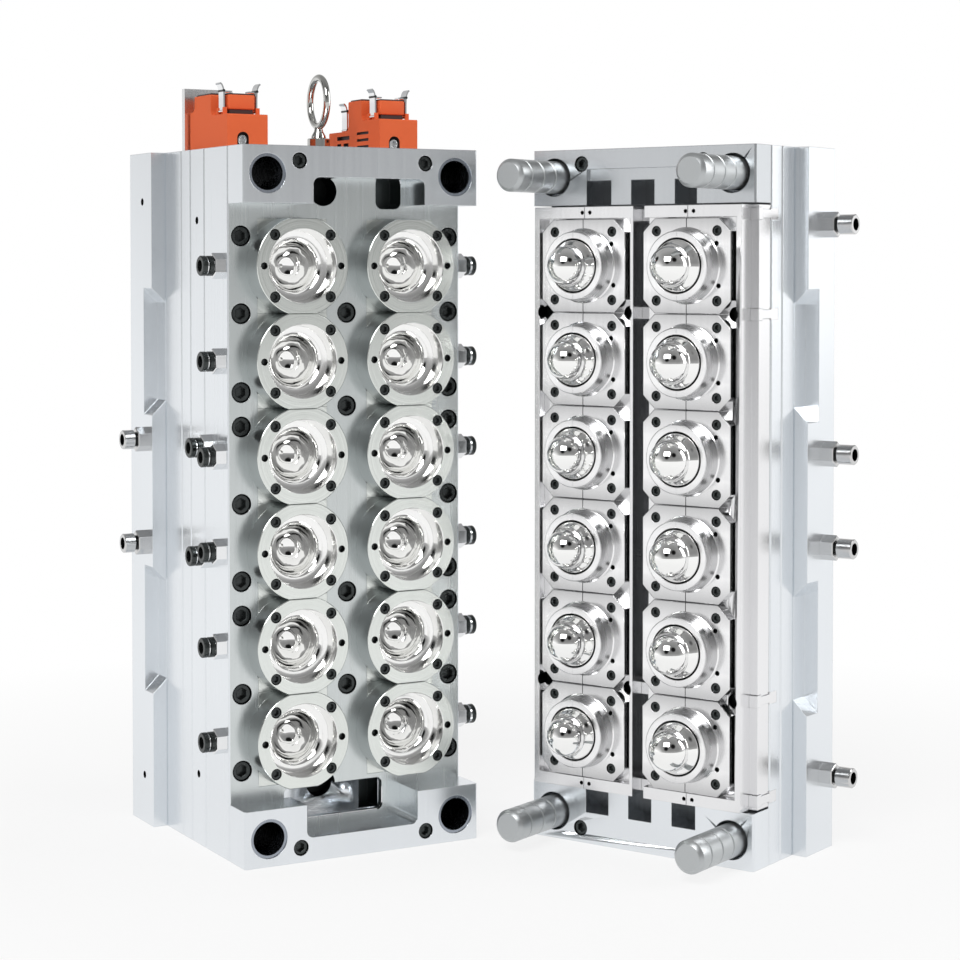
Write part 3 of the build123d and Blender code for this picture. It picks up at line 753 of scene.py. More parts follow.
def turned_steel(name, colour, rough=(0.12, 0.24), lines=700, strength=0.08, waves=0.0):
    """Lathe-turned steel: fine rings round the piece's axis."""
    material, nodes, links, shader = new_finish(name, colour, 1.0, sum(rough) / 2)
    if shader is None:
        return material
    rings = nodes.new("ShaderNodeTexNoise")
    rings.noise_dimensions = "1D"
    rings.inputs["Scale"].default_value = lines
    rings.inputs["Detail"].default_value = 2
    links.new(ring_distance(nodes, links), rings.inputs["W"])
    clouds = grain(nodes, links, 0, (1, 1, 1), 30, 3)
    base = shader.inputs["Base Color"]
    blend(nodes, links, clouds, shade(colour, 0.90), shade(colour, 1.06), base)
    links.new(spread(nodes, links, rings.outputs["Fac"], *rough), shader.inputs["Roughness"])
    layers = [(rings.outputs["Fac"], strength, 0.0001)]
    if waves:
        layers.insert(0, (grain(nodes, links, 0, (1, 1, 1), 20, 1), waves, 0.0012))
    relief(nodes, links, shader, layers, 0.0004)
    return material


def neck_steel(name, colour):
    """Polished steel of the neck rings, with painted shade towards the top and bottom of each block."""
    material, nodes, links, shader = new_finish(name, colour, 1.0, 0.2)
    if shader is None:
        return material
    where = nodes.new("ShaderNodeTexCoord")
    split = nodes.new("ShaderNodeSeparateXYZ")
    links.new(where.outputs["Object"], split.inputs["Vector"])
    height = nodes.new("ShaderNodeMath")
    height.operation = "ABSOLUTE"
    links.new(split.outputs["Z"], height.inputs[0])
    # Painted shade: the colour falls to 0.66 towards the top and bottom of each block.
    share = spread(nodes, links, height.outputs["Value"], 0, 1, 0.018, 0.040)
    clouds = grain(nodes, links, 0, (1, 1, 0.5), 45, 2)
    surface = blend(nodes, links, clouds, shade(colour, 1.00), shade(colour, 1.26), None)
    blend(nodes, links, share, surface, shade(colour, 0.66), shader.inputs["Base Color"])
    lines = grain(nodes, links, 0, (0.02, 0.02, 1.0), 8, 2)
    links.new(spread(nodes, links, lines, 0.13, 0.22), shader.inputs["Roughness"])
    waves = grain(nodes, links, 0, (1, 1, 1), 16, 1)
    relief(nodes, links, shader, ((waves, 0.5, 0.0016),), 0.0004)
    return material


def mirror_steel(name, colour, waves=0.0):
    """Mirror-polished steel with faint wipe marks, and hand-polishing waves where wanted."""
    material, nodes, links, shader = new_finish(name, colour, 1.0, 0.05)
    if shader is None:
        return material
    wipes = grain(nodes, links, 0, (1, 3, 1), 90, 5)
    links.new(spread(nodes, links, wipes, 0.02, 0.08), shader.inputs["Roughness"])
    base = shader.inputs["Base Color"]
    blend(nodes, links, wipes, shade(colour, 0.96), shade(colour, 1.02), base)
    if waves:
        blots = grain(nodes, links, 0, (1, 1, 1), 70, 1)
        relief(nodes, links, shader, ((blots, waves, 0.002),))
    return material


def black_steel(name, colour, rough=0.25):
    """Blackened steel with worn, slightly lighter patches."""
    material, nodes, links, shader = new_finish(name, colour, 0.85, rough)
    if shader is None:
        return material
    wear = grain(nodes, links, 0, (1, 1, 1), 260, 4)
    base = shader.inputs["Base Color"]
    blend(nodes, links, wear, shade(colour, 0.5), shade(colour, 2.0), base)
    links.new(spread(nodes, links, wear, rough - 0.07, rough + 0.12), shader.inputs["Roughness"])
    relief(nodes, links, shader, ((wear, 0.12, 0.0002),))
    return material


def moulded_plastic(name, colour, rough):
    """Moulded plastic with a fine eroded grain."""
    material, nodes, links, shader = new_finish(name, colour, 0.0, rough)
    if shader is None:
        return material
    fine = grain(nodes, links, 0, (1, 1, 1), 1500, 2)
    clouds = grain(nodes, links, 0, (1, 1, 1), 60, 2)
    base = shader.inputs["Base Color"]
    blend(nodes, links, clouds, shade(colour, 0.93), shade(colour, 1.06), base)
    links.new(spread(nodes, links, fine, rough - 0.05, rough + 0.07), shader.inputs["Roughness"])
    relief(nodes, links, shader, ((fine, 0.2, 0.0001),), 0.0006)
    return material


def finish(kind):
    """The mould's finishes, each made once."""
    colours = bpy.context.scene.mould_colours
    plate, face = tuple(colours.plate_steel), tuple(colours.face_steel)
    core, mirror = tuple(colours.core_steel), tuple(colours.mirror_steel)
    pin, black, hood = tuple(colours.pin_steel), tuple(colours.black_steel), tuple(colours.hood)
    inward = CORE.to_3x3() @ Vector((0, 1, 0))
    stripper_front = inward.dot(CORE @ Vector((0, 0.0272, 0)))
    cavity_inward, bar_face, plate_face = (0, 1, 0), CORNER.y, CORNER.y + PLATE_FACE
    bush = (0.34, 0.37, 0.42)
    makers = {
        "cavity_plates": lambda: ground_steel("cavity_plate_steel", plate),
        # The cavity plate's front face is a darker copy of the plate steel as painted shade; from just
        # behind the face its sides take the plate steel.
        "cavity_face": lambda: ground_steel(
            "cavity_face_steel_with_painted_shade",
            shade(face, 0.92),
            0,
            (0.22, 0.28),
            behind=(cavity_inward, plate_face + 0.0002, plate_face + 0.0004, plate),
        ),
        # Near-black walls for the recesses behind the window and the notch: painted shade.
        "recess": lambda: ground_steel("recess_painted_shade", (0.07, 0.08, 0.08), 0, (0.3, 0.4)),
        "core_plates": lambda: ground_steel("core_plate_steel", plate, CORE_TURN),
        "core_face": lambda: ground_steel("core_face_steel", core, CORE_TURN, (0.18, 0.23)),
        # The core top bar's steel is darkened as painted shade, the top being darker from how the light
        # falls.
        "core_bar": lambda: ground_steel("core_top_bar_painted_shade_steel", shade(plate, 0.72), CORE_TURN),
        # The stripper plate's front, seen between the slides, is near-black as painted shade; behind it
        # the plate keeps the plate steel.
        "stripper": lambda: ground_steel(
            "stripper_plate_steel_with_painted_shade",
            shade(plate, 0.15),
            CORE_TURN,
            behind=(tuple(inward), stripper_front, stripper_front + 0.0002, plate),
        ),
        "insert": lambda: turned_steel("insert_turned_steel", (0.77, 0.80, 0.77), (0.14, 0.26)),
        # The inserts' flange sides are a darker copy of the face steel: painted shade.
        "insert_side": lambda: turned_steel("insert_side_painted_shade", shade(face, 0.62), (0.2, 0.3)),
        "cone": lambda: turned_steel("cone_ground_steel", mirror, (0.08, 0.16), 1200, waves=0.3),
        "neck": lambda: neck_steel("neck_ring_steel_with_painted_shade", core),
        "flank": lambda: turned_steel("neck_cone_steel", shade(core, 0.8), (0.22, 0.34)),
        "mirror": lambda: mirror_steel("core_mirror_steel", mirror),
        "bore": lambda: mirror_steel("bore_mirror_steel", mirror, 0.5),
        "pin": lambda: turned_steel("pin_steel", pin, (0.20, 0.32)),
        # The bushes fade to near-black from 4 mm to 22 mm deep: painted shade in their bores.
        "bush": lambda: ground_steel(
            "bush_steel_with_painted_shade",
            bush,
            0,
            (0.2, 0.3),
            0.0,
            (cavity_inward, bar_face + 0.004, bar_face + 0.022, shade(bush, 0.02)),
        ),
        "black": lambda: black_steel("blackened_steel", black),
        # Near-black walls for the cut screw pockets, holes, grooves and slits: painted shade in the
        # hollows.
        "dark": lambda: black_steel("painted_pocket_shade", (0.008, 0.009, 0.009), 0.4),
        "fitting": lambda: turned_steel("fitting_chrome", (0.82, 0.83, 0.84), (0.07, 0.14)),
        "nipple": lambda: turned_steel("nipple_steel", (0.62, 0.62, 0.62), (0.12, 0.22)),
        "eye": lambda: mirror_steel("eye_bolt_steel", (0.55, 0.55, 0.53)),
        "bright": lambda: mirror_steel("bright_latch_steel", (0.86, 0.87, 0.88)),
        "bracket": lambda: ground_steel("bracket_steel", (0.86, 0.87, 0.88), 0, (0.2, 0.3), 0.0004),
        "heated": lambda: ground_steel("heat_toned_steel", (0.42, 0.36, 0.29)),
        "hood": lambda: moulded_plastic("hood_plastic", hood, 0.38),
        "gasket": lambda: moulded_plastic("gasket_rubber", (0.045, 0.022, 0.020), 0.5),
    }
    return makers[kind]()


def paint(node, kind):
    """Gives a CAD node one of the mould's finishes."""
    target = frame["nodes"][node]
    if not target.material_slots:
        raise RuntimeError(f"CAD node {node} has no material slot")
    for slot in target.material_slots:
        slot.material = finish(kind)


# ---- pieces ----


def cut_bar_recesses():
    """Darkens the pockets behind the top window with painted shade and sinks the one behind the bottom
    notch, whose deep recess also gets painted shade.
    """
    cutter = bmesh.new()
    plug(cutter, 0.088, 0.5635, PLATE_FACE - 0.001, 0.0532, 0.0252)
    prism(cutter, rounded(0.1379, 0.1621, 0.5489, 0.5771, 0.0062), PLATE_FACE - 0.001, 0.0532, 1)
    prism(cutter, rounded(0.0500, 0.1430, 0.0285, 0.0560, 0.0050), PLATE_FACE - 0.001, 0.0400, 2)
    finishes = [finish("dark"), finish("recess"), finish("cavity_plates")]
    mesh = mesh_of("recess_cutter", cutter, finishes)
    cut_pockets("cavity_plate", mesh, CAVITY)
    cutter = bmesh.new()
    slab(cutter, (0.1240, 0.0390, 0.0290), (0.1425, 0.0600, 0.0555), 1)
    plug(cutter, 0.0860, 0.0560, PLATE_FACE - 0.002, 0.0500, 0.0240)
    mesh = mesh_of("deep_recess_cutter", cutter, finishes)
    cut_pockets("cavity_plate", mesh, CAVITY)
    lips = bmesh.new()
    for corners in (
        rounded(0.0440, 0.1430, 0.0285, 0.0800, 0.0050)[-9:] + [(0.1430, 0.0478)],
        [(0.0570, 0.0285)] + rounded(0.0440, 0.1430, 0.0285, 0.0800, 0.0050)[-9:],
        rounded(0.1379, 0.1621, 0.5489, 0.5771, 0.0062)[:7],
    ):
        bent_strip(lips, corners, 0.0012, PLATE_FACE - 0.0006, PLATE_FACE + 0.0004)
    mesh = mesh_of("recess_lips", lips, [finish("fitting")])
    add_piece("recess_lips", mesh, CAVITY, "root")


class MOULD_OT_plates(bpy.types.Operator):
    """Finishes the plates and bars of both halves"""

    bl_idname = "mould.plates"
    bl_label = "Plates and Bars"

    def execute(self, context):
        paint("cavity_plate", "cavity_face")
        cut_bar_recesses()
        for node in (
            "cavity_top_bar",
            "cavity_bottom_bar",
            "nozzle_plate",
            "rear_frame",
            "manifold_frame",
            "hot_clamp_plate",
        ):
            paint(node, "cavity_plates")
        for node in ("core_plate", "core_clamp_plate", "core_bottom_bar"):
            paint(node, "core_plates")
        # The core top bar gets the darkened steel: painted shade.
        paint("core_top_bar", "core_bar")
        # The stripper plate's front carries painted shade.
        paint("stripper_plate", "stripper")
        paint("guide_rails", "core_face")
        return {"FINISHED"}


class MOULD_OT_side_holes(bpy.types.Operator):
    """Cuts the tapped holes into the sides of the cavity half"""

    bl_idname = "mould.side_holes"
    bl_label = "Side Holes"

    def execute(self, context):
        size = context.scene.mould_fasteners.side_hole
        for node, depth, offset, edge in (
            ("nozzle_plate", 0.100, 0.239, 0.0),
            ("hot_clamp_plate", 0.196, 0.257, 0.013),
        ):
            cutter = bmesh.new()
            for z in (HEIGHT / 2 - offset, HEIGHT / 2 + offset):
                side_plug(cutter, depth, z, -edge - 0.002, -edge + 0.012, size)
                side_plug(cutter, depth, z, WIDTH + edge - 0.012, WIDTH + edge + 0.002, size)
            # The holes' walls take the near-black pocket finish: painted shade.
            mesh = mesh_of(node + "_cutter", cutter, [finish("dark")])
            cut_pockets(node, mesh, CAVITY)
        return {"FINISHED"}


def plate_screw_places():
    """Where the plate screws sit in the cavity plate, as (x, z)."""
    side = (-0.225, -0.160, -0.094, -0.065, 0.0, 0.065, 0.094, 0.160, 0.225)
    places = [(x, HEIGHT / 2 + offset) for x in (0.012, 0.209) for offset in side]
    places += [(WIDTH / 2, z) for z in (0.140, 0.220, 0.380, 0.460)]
    return places


class MOULD_OT_plate_screws(bpy.types.Operator):
    """Sinks the black cap screws into the cavity plate and the bars of both halves"""

    bl_idname = "mould.plate_screws"
    bl_label = "Plate Screws"

    def execute(self, context):
        sizes = context.scene.mould_fasteners
        cutter, screws = bmesh.new(), bmesh.new()
        for x, z in plate_screw_places():
            # The pockets' walls take the near-black pocket finish: painted shade.
            plug(cutter, x, z, PLATE_FACE - 0.002, PLATE_FACE + 0.012, sizes.plate_screw)
            cap_screw(screws, x, z, PLATE_FACE, sizes.plate_screw)
        cut_pockets("cavity_plate", mesh_of("plate_cutter", cutter, [finish("dark")]), CAVITY)
        for half, columns, place in (
            ("cavity", (0.051, 0.169), CAVITY),
            ("core", (0.050, 0.170), CORE),
        ):
            if half == "core":
                mesh = mesh_of("cavity_screws", screws, [finish("black")])
                add_piece("cavity_screws", mesh, CAVITY, "root")
                screws = bmesh.new()
            for end, z in (("bottom", 0.0125), ("top", HEIGHT - 0.0125)):
                cutter = bmesh.new()
                for x in columns:
                    # The pockets' walls take the near-black pocket finish: painted shade.
                    plug(cutter, x, z, -0.002, 0.010, sizes.bar_screw)
                    cap_screw(screws, x, z, 0, sizes.bar_screw)
                mesh = mesh_of(f"{half}_{end}_bar_cutter", cutter, [finish("dark")])
                cut_pockets(f"{half}_{end}_bar", mesh, place)
        mesh = mesh_of("core_bar_screws", screws, [finish("black")])
        add_piece("core_bar_screws", mesh, CORE, "root")
        return {"FINISHED"}


def insert_mesh(context):
    """A cavity insert: flatted flange, locking cone and polished bore, with screw pockets."""
    sizes, fasteners = context.scene.mould_pattern, context.scene.mould_fasteners
    outline = flatted(sizes.insert_diameter, sizes.insert_height)
    body = block_outline(0.064, sizes.insert_height, 0.0001)
    ease = 0.0005
    mouth, floor, bore = sizes.cone_mouth / 2, sizes.cone_floor / 2, sizes.bore / 2
    bottom, ledge = 0.0575, INSERT_FACE + 0.0160
    rings = [
        (0, 0.0655),
        (body, 0.0655),
        (body, PLATE_FACE),
        # The flange's side wall takes the darker side finish: painted shade.
        (outline, PLATE_FACE, 4),
        (outline, INSERT_FACE + ease),
        (shrunk(outline, ease), INSERT_FACE),
        (mouth + ease, INSERT_FACE, 1),
        (mouth, INSERT_FACE + ease, 1),
        (floor + 0.0003, ledge - 0.0003, 1),
        (floor - 0.0004, ledge, 1),
        (bore + 0.0034, ledge, 2),
        (bore + 0.0016, ledge + 0.0012, 2),
        (bore + 0.0004, ledge + 0.0032, 2),
        (bore, ledge + 0.0060, 2),
    ]
    knuckle = bottom - bore
    for i in range(14):
        swing = math.pi / 2 * i / 14
        rings.append((bore * math.cos(swing), knuckle + bore * math.sin(swing), 2))
    rings += [(0.0020, bottom - 0.0001, 2), (0.0012, bottom + 0.002, 2), (0, bottom + 0.002, 2)]
    extra = flat_angles(sizes.insert_diameter, sizes.insert_height)
    extra += block_angles(0.064, sizes.insert_height, 0.0001)
    finishes = [finish(kind) for kind in ("insert", "cone", "bore", "dark", "insert_side")]
    solid = mesh_of("cavity_insert", turned(bmesh.new(), rings, 96, extra), finishes)
    cutter = bmesh.new()
    # Screw and dowel holes take the near-black pocket finish: painted shade.
    for x, z in ((-1, -1), (-1, 1), (1, -1), (1, 1)):
        place = (x * 0.0255, z * 0.026)
        plug(cutter, *place, 0.005, 0.018, fasteners.insert_screw, finish=3)
    for x in (-0.0354, 0.0354):
        plug(cutter, x, 0, 0.005, 0.022, fasteners.dowel, finish=3)
    return carved(solid, mesh_of("insert_cutter", cutter, finishes), finishes)


class MOULD_OT_cavity_inserts(bpy.types.Operator):
    """Builds the twelve cavity inserts with their polished bores"""

    bl_idname = "mould.cavity_inserts"
    bl_label = "Cavity Inserts"

    def execute(self, context):
        mesh = insert_mesh(context)
        for name, x in zip(("left", "right"), COLUMNS):
            for row, z in enumerate(ROWS, 1):
                add_piece(
                    f"{name}_cavity_insert_{row}",
                    mesh,
                    CAVITY @ Matrix.Translation((x, 0, z)),
                    "root",
                    (f"{name}_cavity_inserts",),
                )
        return {"FINISHED"}


class MOULD_OT_insert_screws(bpy.types.Operator):
    """Sinks the small cap screws and dowels into the cavity inserts"""

    bl_idname = "mould.insert_screws"
    bl_label = "Insert Screws"

    def execute(self, context):
        sizes = context.scene.mould_fasteners
        screws = bmesh.new()
        for column in COLUMNS:
            for row in ROWS:
                for x, z in ((-1, -1), (-1, 1), (1, -1), (1, 1)):
                    place = (column + x * 0.0255, row + z * 0.026)
                    cap_screw(screws, *place, INSERT_FACE, sizes.insert_screw, 0.0006)
                for x in (-0.0354, 0.0354):
                    near, far = INSERT_FACE + 0.004, INSERT_FACE + 0.011
                    plug(screws, column + x, row, near, far, sizes.dowel - 0.0002, 24)
        mesh = mesh_of("insert_screws", screws, [finish("black")])
        add_piece("insert_screws", mesh, CAVITY, "root")
        return {"FINISHED"}


class MOULD_OT_slides(bpy.types.Operator):
    """Finishes the four slide bars and cuts their grooves and rail windows, lined with painted shade"""

    bl_idname = "mould.slides"
    bl_label = "Slides"

    def execute(self, context):
        for name, edge, groove, window in (
            ("left", "left", 0.015, 0.0175),
            ("left", "right", 0.103, 0.1005),
            ("right", "left", None, None),
            ("right", "right", 0.205, 0.2025),
        ):
            node = f"{name}_column_{edge}_slide"
            paint(node, "core_face")
            cutter = bmesh.new()
            if groove:
                for z in ROWS:
                    low, high = (groove - 0.0018, -0.0020, z - 0.029), (groove + 0.0018, 0.0045, z + 0.029)
                    slab(cutter, low, high)
                for z in (ROWS[0] + 0.040, ROWS[4] + 0.040):
                    plug(cutter, window, z, -0.0100, 0.0050, 0.0125, 24)
            inner = COLUMNS[0 if name == "left" else 1] + (-0.0022 if edge == "left" else 0.0055)
            for z in (0.0545, HEIGHT - 0.0545):
                plug(cutter, inner, z, -0.0110, -0.0030, 0.0034, 20)
            # Grooves, windows and small holes take the near-black pocket finish: painted shade.
            cut_pockets(node, mesh_of(node + "_cutter", cutter, [finish("dark")]), CORE)
        return {"FINISHED"}


def neck_mesh(context, side):
    """Half of a neck ring: flat block, locking cone and ring rim, with screw pockets."""
    sizes, fasteners = context.scene.mould_pattern, context.scene.mould_fasteners
    width, height, corner = sizes.neck_width, sizes.neck_height, 0.011
    outline = block_outline(width, height, corner)
    ease = 0.0006
    bore, lip = sizes.neck_bore / 2, sizes.neck_bore / 2 - 0.0003
    root, rim = sizes.cone_mouth / 2 - 0.0005, sizes.cone_floor / 2 - 0.0005
    tip = NECK_FACE - 0.016
    rings = [
        (bore, NECK_BACK),
        (outline, NECK_BACK),
        (outline, NECK_FACE + ease),
        (shrunk(outline, ease), NECK_FACE),
        (root + 0.0016, NECK_FACE),
        (root + 0.0005, NECK_FACE - 0.0007, 1),
        (root, NECK_FACE - 0.0022, 1),
        (rim + 0.0003, tip + 0.0006, 1),
        (rim - 0.0004, tip),
        (lip + 0.0004, tip),
        (lip, tip + 0.0004),
        (lip, tip + 0.0030),
        (bore, tip + 0.0050),
    ]
    quarter = math.pi / 2
    arc = (-quarter, quarter) if side > 0 else (quarter, 3 * quarter)
    bm = turned(bmesh.new(), rings, 60, block_angles(width, height, corner), arc)
    finishes = [finish("neck"), finish("flank"), finish("dark")]
    solid = mesh_of("neck_ring_half", bm, finishes)
    # Screw pockets, split slits and holes take the near-black pocket finish: painted shade.
    cutter = bmesh.new()
    for z in (-1, 1):
        plug(cutter, side * 0.029, z * 0.029, -0.016, -0.005, fasteners.neck_screw, finish=2)
    for z in (-0.0365, 0.0365):
        slab(cutter, (-0.0003, -0.016, z - 0.0045), (0.0003, -0.0105, z + 0.0045), 2)
    if side > 0:
        for x, z in ((0.0285, 0.0185), (0.0305, -0.0165)):
            plug(cutter, x, z, -0.016, -0.0085, 0.0042, 24, 2)
    return carved(solid, mesh_of("neck_cutter", cutter, finishes), finishes)


class MOULD_OT_neck_rings(bpy.types.Operator):
    """Builds the split neck rings on their slides"""

    bl_idname = "mould.neck_rings"
    bl_label = "Neck Rings"

    def execute(self, context):
        for edge, side in (("left", -1), ("right", 1)):
            mesh = neck_mesh(context, side)
            for name, x in zip(("left", "right"), COLUMNS):
                for row, z in enumerate(ROWS, 1):
                    add_piece(
                        f"{name}_column_{edge}_neck_ring_{row}",
                        mesh,
                        CORE @ Matrix.Translation((x, 0, z)),
                        f"{edge}_slides",
                        (f"{name}_column_{edge}_neck_rings",),
                    )
        return {"FINISHED"}


class MOULD_OT_neck_screws(bpy.types.Operator):
    """Sinks the cap screws into the neck rings"""

    bl_idname = "mould.neck_screws"
    bl_label = "Neck Ring Screws"

    def execute(self, context):
        size = context.scene.mould_fasteners.neck_screw
        for edge, side in (("left", -1), ("right", 1)):
            screws = bmesh.new()
            for column in COLUMNS:
                for row in ROWS:
                    for z in (-0.029, 0.029):
                        cap_screw(screws, column + side * 0.029, row + z, NECK_FACE, size, 0.0006)
            mesh = mesh_of(f"{edge}_neck_screws", screws, [finish("black")])
            add_piece(f"{edge}_neck_screws", mesh, CORE, f"{edge}_slides")
        return {"FINISHED"}


class MOULD_OT_cores(bpy.types.Operator):
    """Builds the twelve mirror-polished cores"""

    bl_idname = "mould.cores"
    bl_label = "Cores"

    def execute(self, context):
        sizes = context.scene.mould_pattern
        radius, reach, collar, ledge = sizes.core_diameter / 2, sizes.core_reach, 0.0222, -0.0255
        rings = [(0, 0.0462), (collar, 0.0462), (collar, ledge)]
        for i in range(1, 13):
            share = i / 12
            swell = (1 + math.cos(math.pi * share)) / 2
            rings.append((radius + (collar - radius) * swell, ledge - 0.0105 * share))
        for i in range(1, 16):
            swing = math.pi / 2 * i / 16
            rings.append((radius * math.cos(swing), radius - reach - radius * math.sin(swing)))
        rings.append((0, -reach))
        mesh = mesh_of("core", turned(bmesh.new(), rings, 96), [finish("mirror")], 40)
        for name, x in zip(("left", "right"), COLUMNS):
            for row, z in enumerate(ROWS, 1):
                add_piece(
                    f"{name}_core_{row}",
                    mesh,
                    CORE @ Matrix.Translation((x, 0, z)),
                    "root",
                    (f"{name}_cores",),
                )
        return {"FINISHED"}


class MOULD_OT_leader_pins(bpy.types.Operator):
    """Builds the four grooved leader pins"""

    bl_idname = "mould.leader_pins"
    bl_label = "Leader Pins"

    def execute(self, context):
        radius, tip, back = 0.014, -0.070, 0.0682
        groove, half = 0.0011, 0.0012
        rings = [(0, tip), (radius - 0.0032, tip), (radius - 0.0028, tip + 0.0003)]
        rings += [(radius - 0.0004, tip + 0.0026), (radius, tip + 0.0034)]
        for middle in (tip + 0.016, tip + 0.034, tip + 0.052):
            rings += [
                (radius, middle - half),
                (radius - groove, middle - half * 0.6),
                (radius - groove, middle + half * 0.6),
                (radius, middle + half),
            ]
        rings += [(radius, back), (0, back)]
        mesh = mesh_of("leader_pin", turned(bmesh.new(), rings, 72), [finish("pin")])
        for number, (x, z) in enumerate(GUIDES, 1):
            add_piece(
                f"leader_pin_{number}",
                mesh,
                CORE @ Matrix.Translation((x, 0, z)),
                "root",
                ("leader_pins",),
            )
        return {"FINISHED"}


class MOULD_OT_guide_bushes(bpy.types.Operator):
    """Finishes the dark guide bushes, with painted shade deeper in their bores"""

    bl_idname = "mould.guide_bushes"
    bl_label = "Guide Bushes"

    def execute(self, context):
        paint("guide_bushes", "bush")
        return {"FINISHED"}


def coupling_mesh(length, collar):
    """A hose coupling that points along -Y: hexagon, black sleeve, bright lip, black mouth."""
    base, body, ease = hexagon(0.0188), 0.0085, 0.0007
    lip = collar + (length - collar) * 0.45
    rings = [
        (0, 0),
        (base, 0),
        (base, -collar + ease),
        (shrunk(base, ease), -collar),
        (body * 0.86, -collar, 1),
        (body, -collar - ease, 1),
        (body, -lip + ease, 1),
        (body * 0.84, -lip),
        (body * 0.84, -lip - 0.0014),
        (body, -lip - 0.0014, 1),
        (body, -length + ease, 1),
        (body - ease, -length, 1),
        (0.0050, -length, 1),
        (0.0050, -length + 0.008, 1),
        (0, -length + 0.008, 1),
    ]
    corners = [math.pi / 6 + math.pi / 3 * i for i in range(6)]
    return mesh_of(
        "coupling", turned(bmesh.new(), rings, 42, corners), [finish("fitting"), finish("black")]
    )


def nipple_mesh(length, collar):
    """A hose nipple that points along -Y: hexagon, neck and barbed round end, with painted shade on the
    neck and in the mouth.
    """
    base, body, ease = hexagon(0.0188), 0.0085, 0.0007
    rings = [
        (0, 0),
        (base, 0),
        (base, -collar + ease),
        (shrunk(base, ease), -collar),
        # The narrowed neck under the barb takes the near-black finish: painted shade.
        (body * 0.74, -collar, 1),
        (body * 0.74, -collar - 0.0020),
        (body, -collar - 0.0026),
        (body, -length + ease),
        (body - ease, -length),
        # The mouth takes the near-black finish: painted shade.
        (0.0052, -length, 1),
        (0.0052, -length + 0.010, 1),
        (0, -length + 0.010, 1),
    ]
    corners = [math.pi / 6 + math.pi / 3 * i for i in range(6)]
    return mesh_of(
        "nipple", turned(bmesh.new(), rings, 42, corners), [finish("nipple"), finish("dark")]
    )


class MOULD_OT_couplings(bpy.types.Operator):
    """Builds the water couplings and the hose nipples"""

    bl_idname = "mould.couplings"
    bl_label = "Couplings"

    def execute(self, context):
        middle = (HEIGHT / 2 - 0.046, HEIGHT / 2 + 0.046)
        ends = (0.065, 0.260, 0.340, 0.535)
        coupling = coupling_mesh(0.020, 0.0095)
        for node, mesh, half, x, side, depth, heights in (
            ("left_couplings", coupling, CAVITY, 0, -1, 0.045, ROWS),
            ("right_couplings", coupling, CAVITY, WIDTH, 1, 0.045, ROWS),
            ("rear_couplings", coupling, CAVITY, 0, -1, 0.072, middle),
            ("clamp_nipples", nipple_mesh(0.024, 0.012), CAVITY, -0.013, -1, 0.185, middle),
            ("core_nipples", nipple_mesh(0.028, 0.012), CORE, WIDTH + 0.013, 1, 0.100, ends),
        ):
            turn = Matrix.Rotation(side * math.pi / 2, 4, "Z")
            for number, z in enumerate(heights, 1):
                place = half @ Matrix.Translation((x, depth, z)) @ turn
                add_piece(f"{node}_{number}", mesh, place, "root", stands_for=(node,))
        return {"FINISHED"}


class MOULD_OT_eye_bolt(bpy.types.Operator):
    """Builds the lifting eye"""

    bl_idname = "mould.eye_bolt"
    bl_label = "Eye Bolt"

    def execute(self, context):
        bm = bmesh.new()
        section = [
            (0.0214 + 0.0031 * math.cos(turn), 0.0031 * math.sin(turn))
            for turn in (2 * math.pi * i / 20 for i in range(20))
        ]
        ring = turned(bmesh.new(), section, 72)
        facing = Matrix.Rotation(math.radians(85), 4, "Z")
        add_part(bm, ring, Matrix.Translation((0, 0, 0.044)) @ facing)
        stem = [
            (0, 0.023),
            (0.0030, 0.023),
            (0.0042, 0.018),
            (0.0062, 0.0145),
            (0.0066, 0.0125),
            (0.0096, 0.0118),
            (0.0100, 0.0112),
            (0.0100, 0.0008),
            (0.0092, 0),
            (0.0060, 0),
            (0.0060, -0.024),
            (0, -0.024),
        ]
        add_part(bm, turned(bmesh.new(), stem, 48), Matrix.Rotation(math.pi / 2, 4, "X"))
        mesh = mesh_of("eye_bolt", bm, [finish("eye")])
        place = CAVITY @ Matrix.Translation((0.114, 0.097, HEIGHT))
        add_piece("lifting_eye", mesh, place, "root", stands_for=("eye_bolt",))
        return {"FINISHED"}


def cut_housing(name, x):
    """Cuts the arched screw recess into a housing's front, and the louvres of the right one, their walls
    in the dark rubber finish as painted shade.
    """
    cutter = bmesh.new()
    prism(cutter, arch(x + 0.0143, HEIGHT - 0.001, 0.0105, 0.0140), 0.0470, 0.0530)
    if name == "right":
        for z in (0.6170, 0.6110, 0.6050):
            slab(cutter, (x - 0.001, 0.0700, z - 0.0012), (x + 0.0022, 0.0930, z + 0.0012))
        for near, far, low, high in (
            (0.1080, 0.1330, 0.6125, 0.6160),
            (0.1100, 0.1200, 0.6030, 0.6095),
            (0.1250, 0.1330, 0.6030, 0.6095),
        ):
            slab(cutter, (x - 0.001, near, low), (x + 0.0030, far, high))
    # The cut walls take the dark rubber finish: painted shade in the recesses.
    mesh = mesh_of(f"{name}_housing_cutter", cutter, [finish("gasket")])
    cut_pockets(f"{name}_connector_base", mesh, CAVITY)


def cap_mesh(x):
    """A housing's plugged cap: black seal, orange lid and its dark top lip."""
    bm = bmesh.new()
    near, far, left, right = 0.0600, 0.0760, x + 0.0065, x + 0.0305
    slab(bm, (left + 0.0014, near + 0.0014, 0.6280), (right - 0.0014, far - 0.0014, 0.6340), 1)
    broken_slab(bm, (left, near, 0.6325), (right, far, 0.6450), 0.0012, 0, 3)
    slab(bm, (left + 0.0008, near + 0.0008, 0.6448), (right - 0.0008, far - 0.0008, 0.6460), 1)
    return mesh_of("connector_cap", bm, [finish("hood"), finish("gasket")])


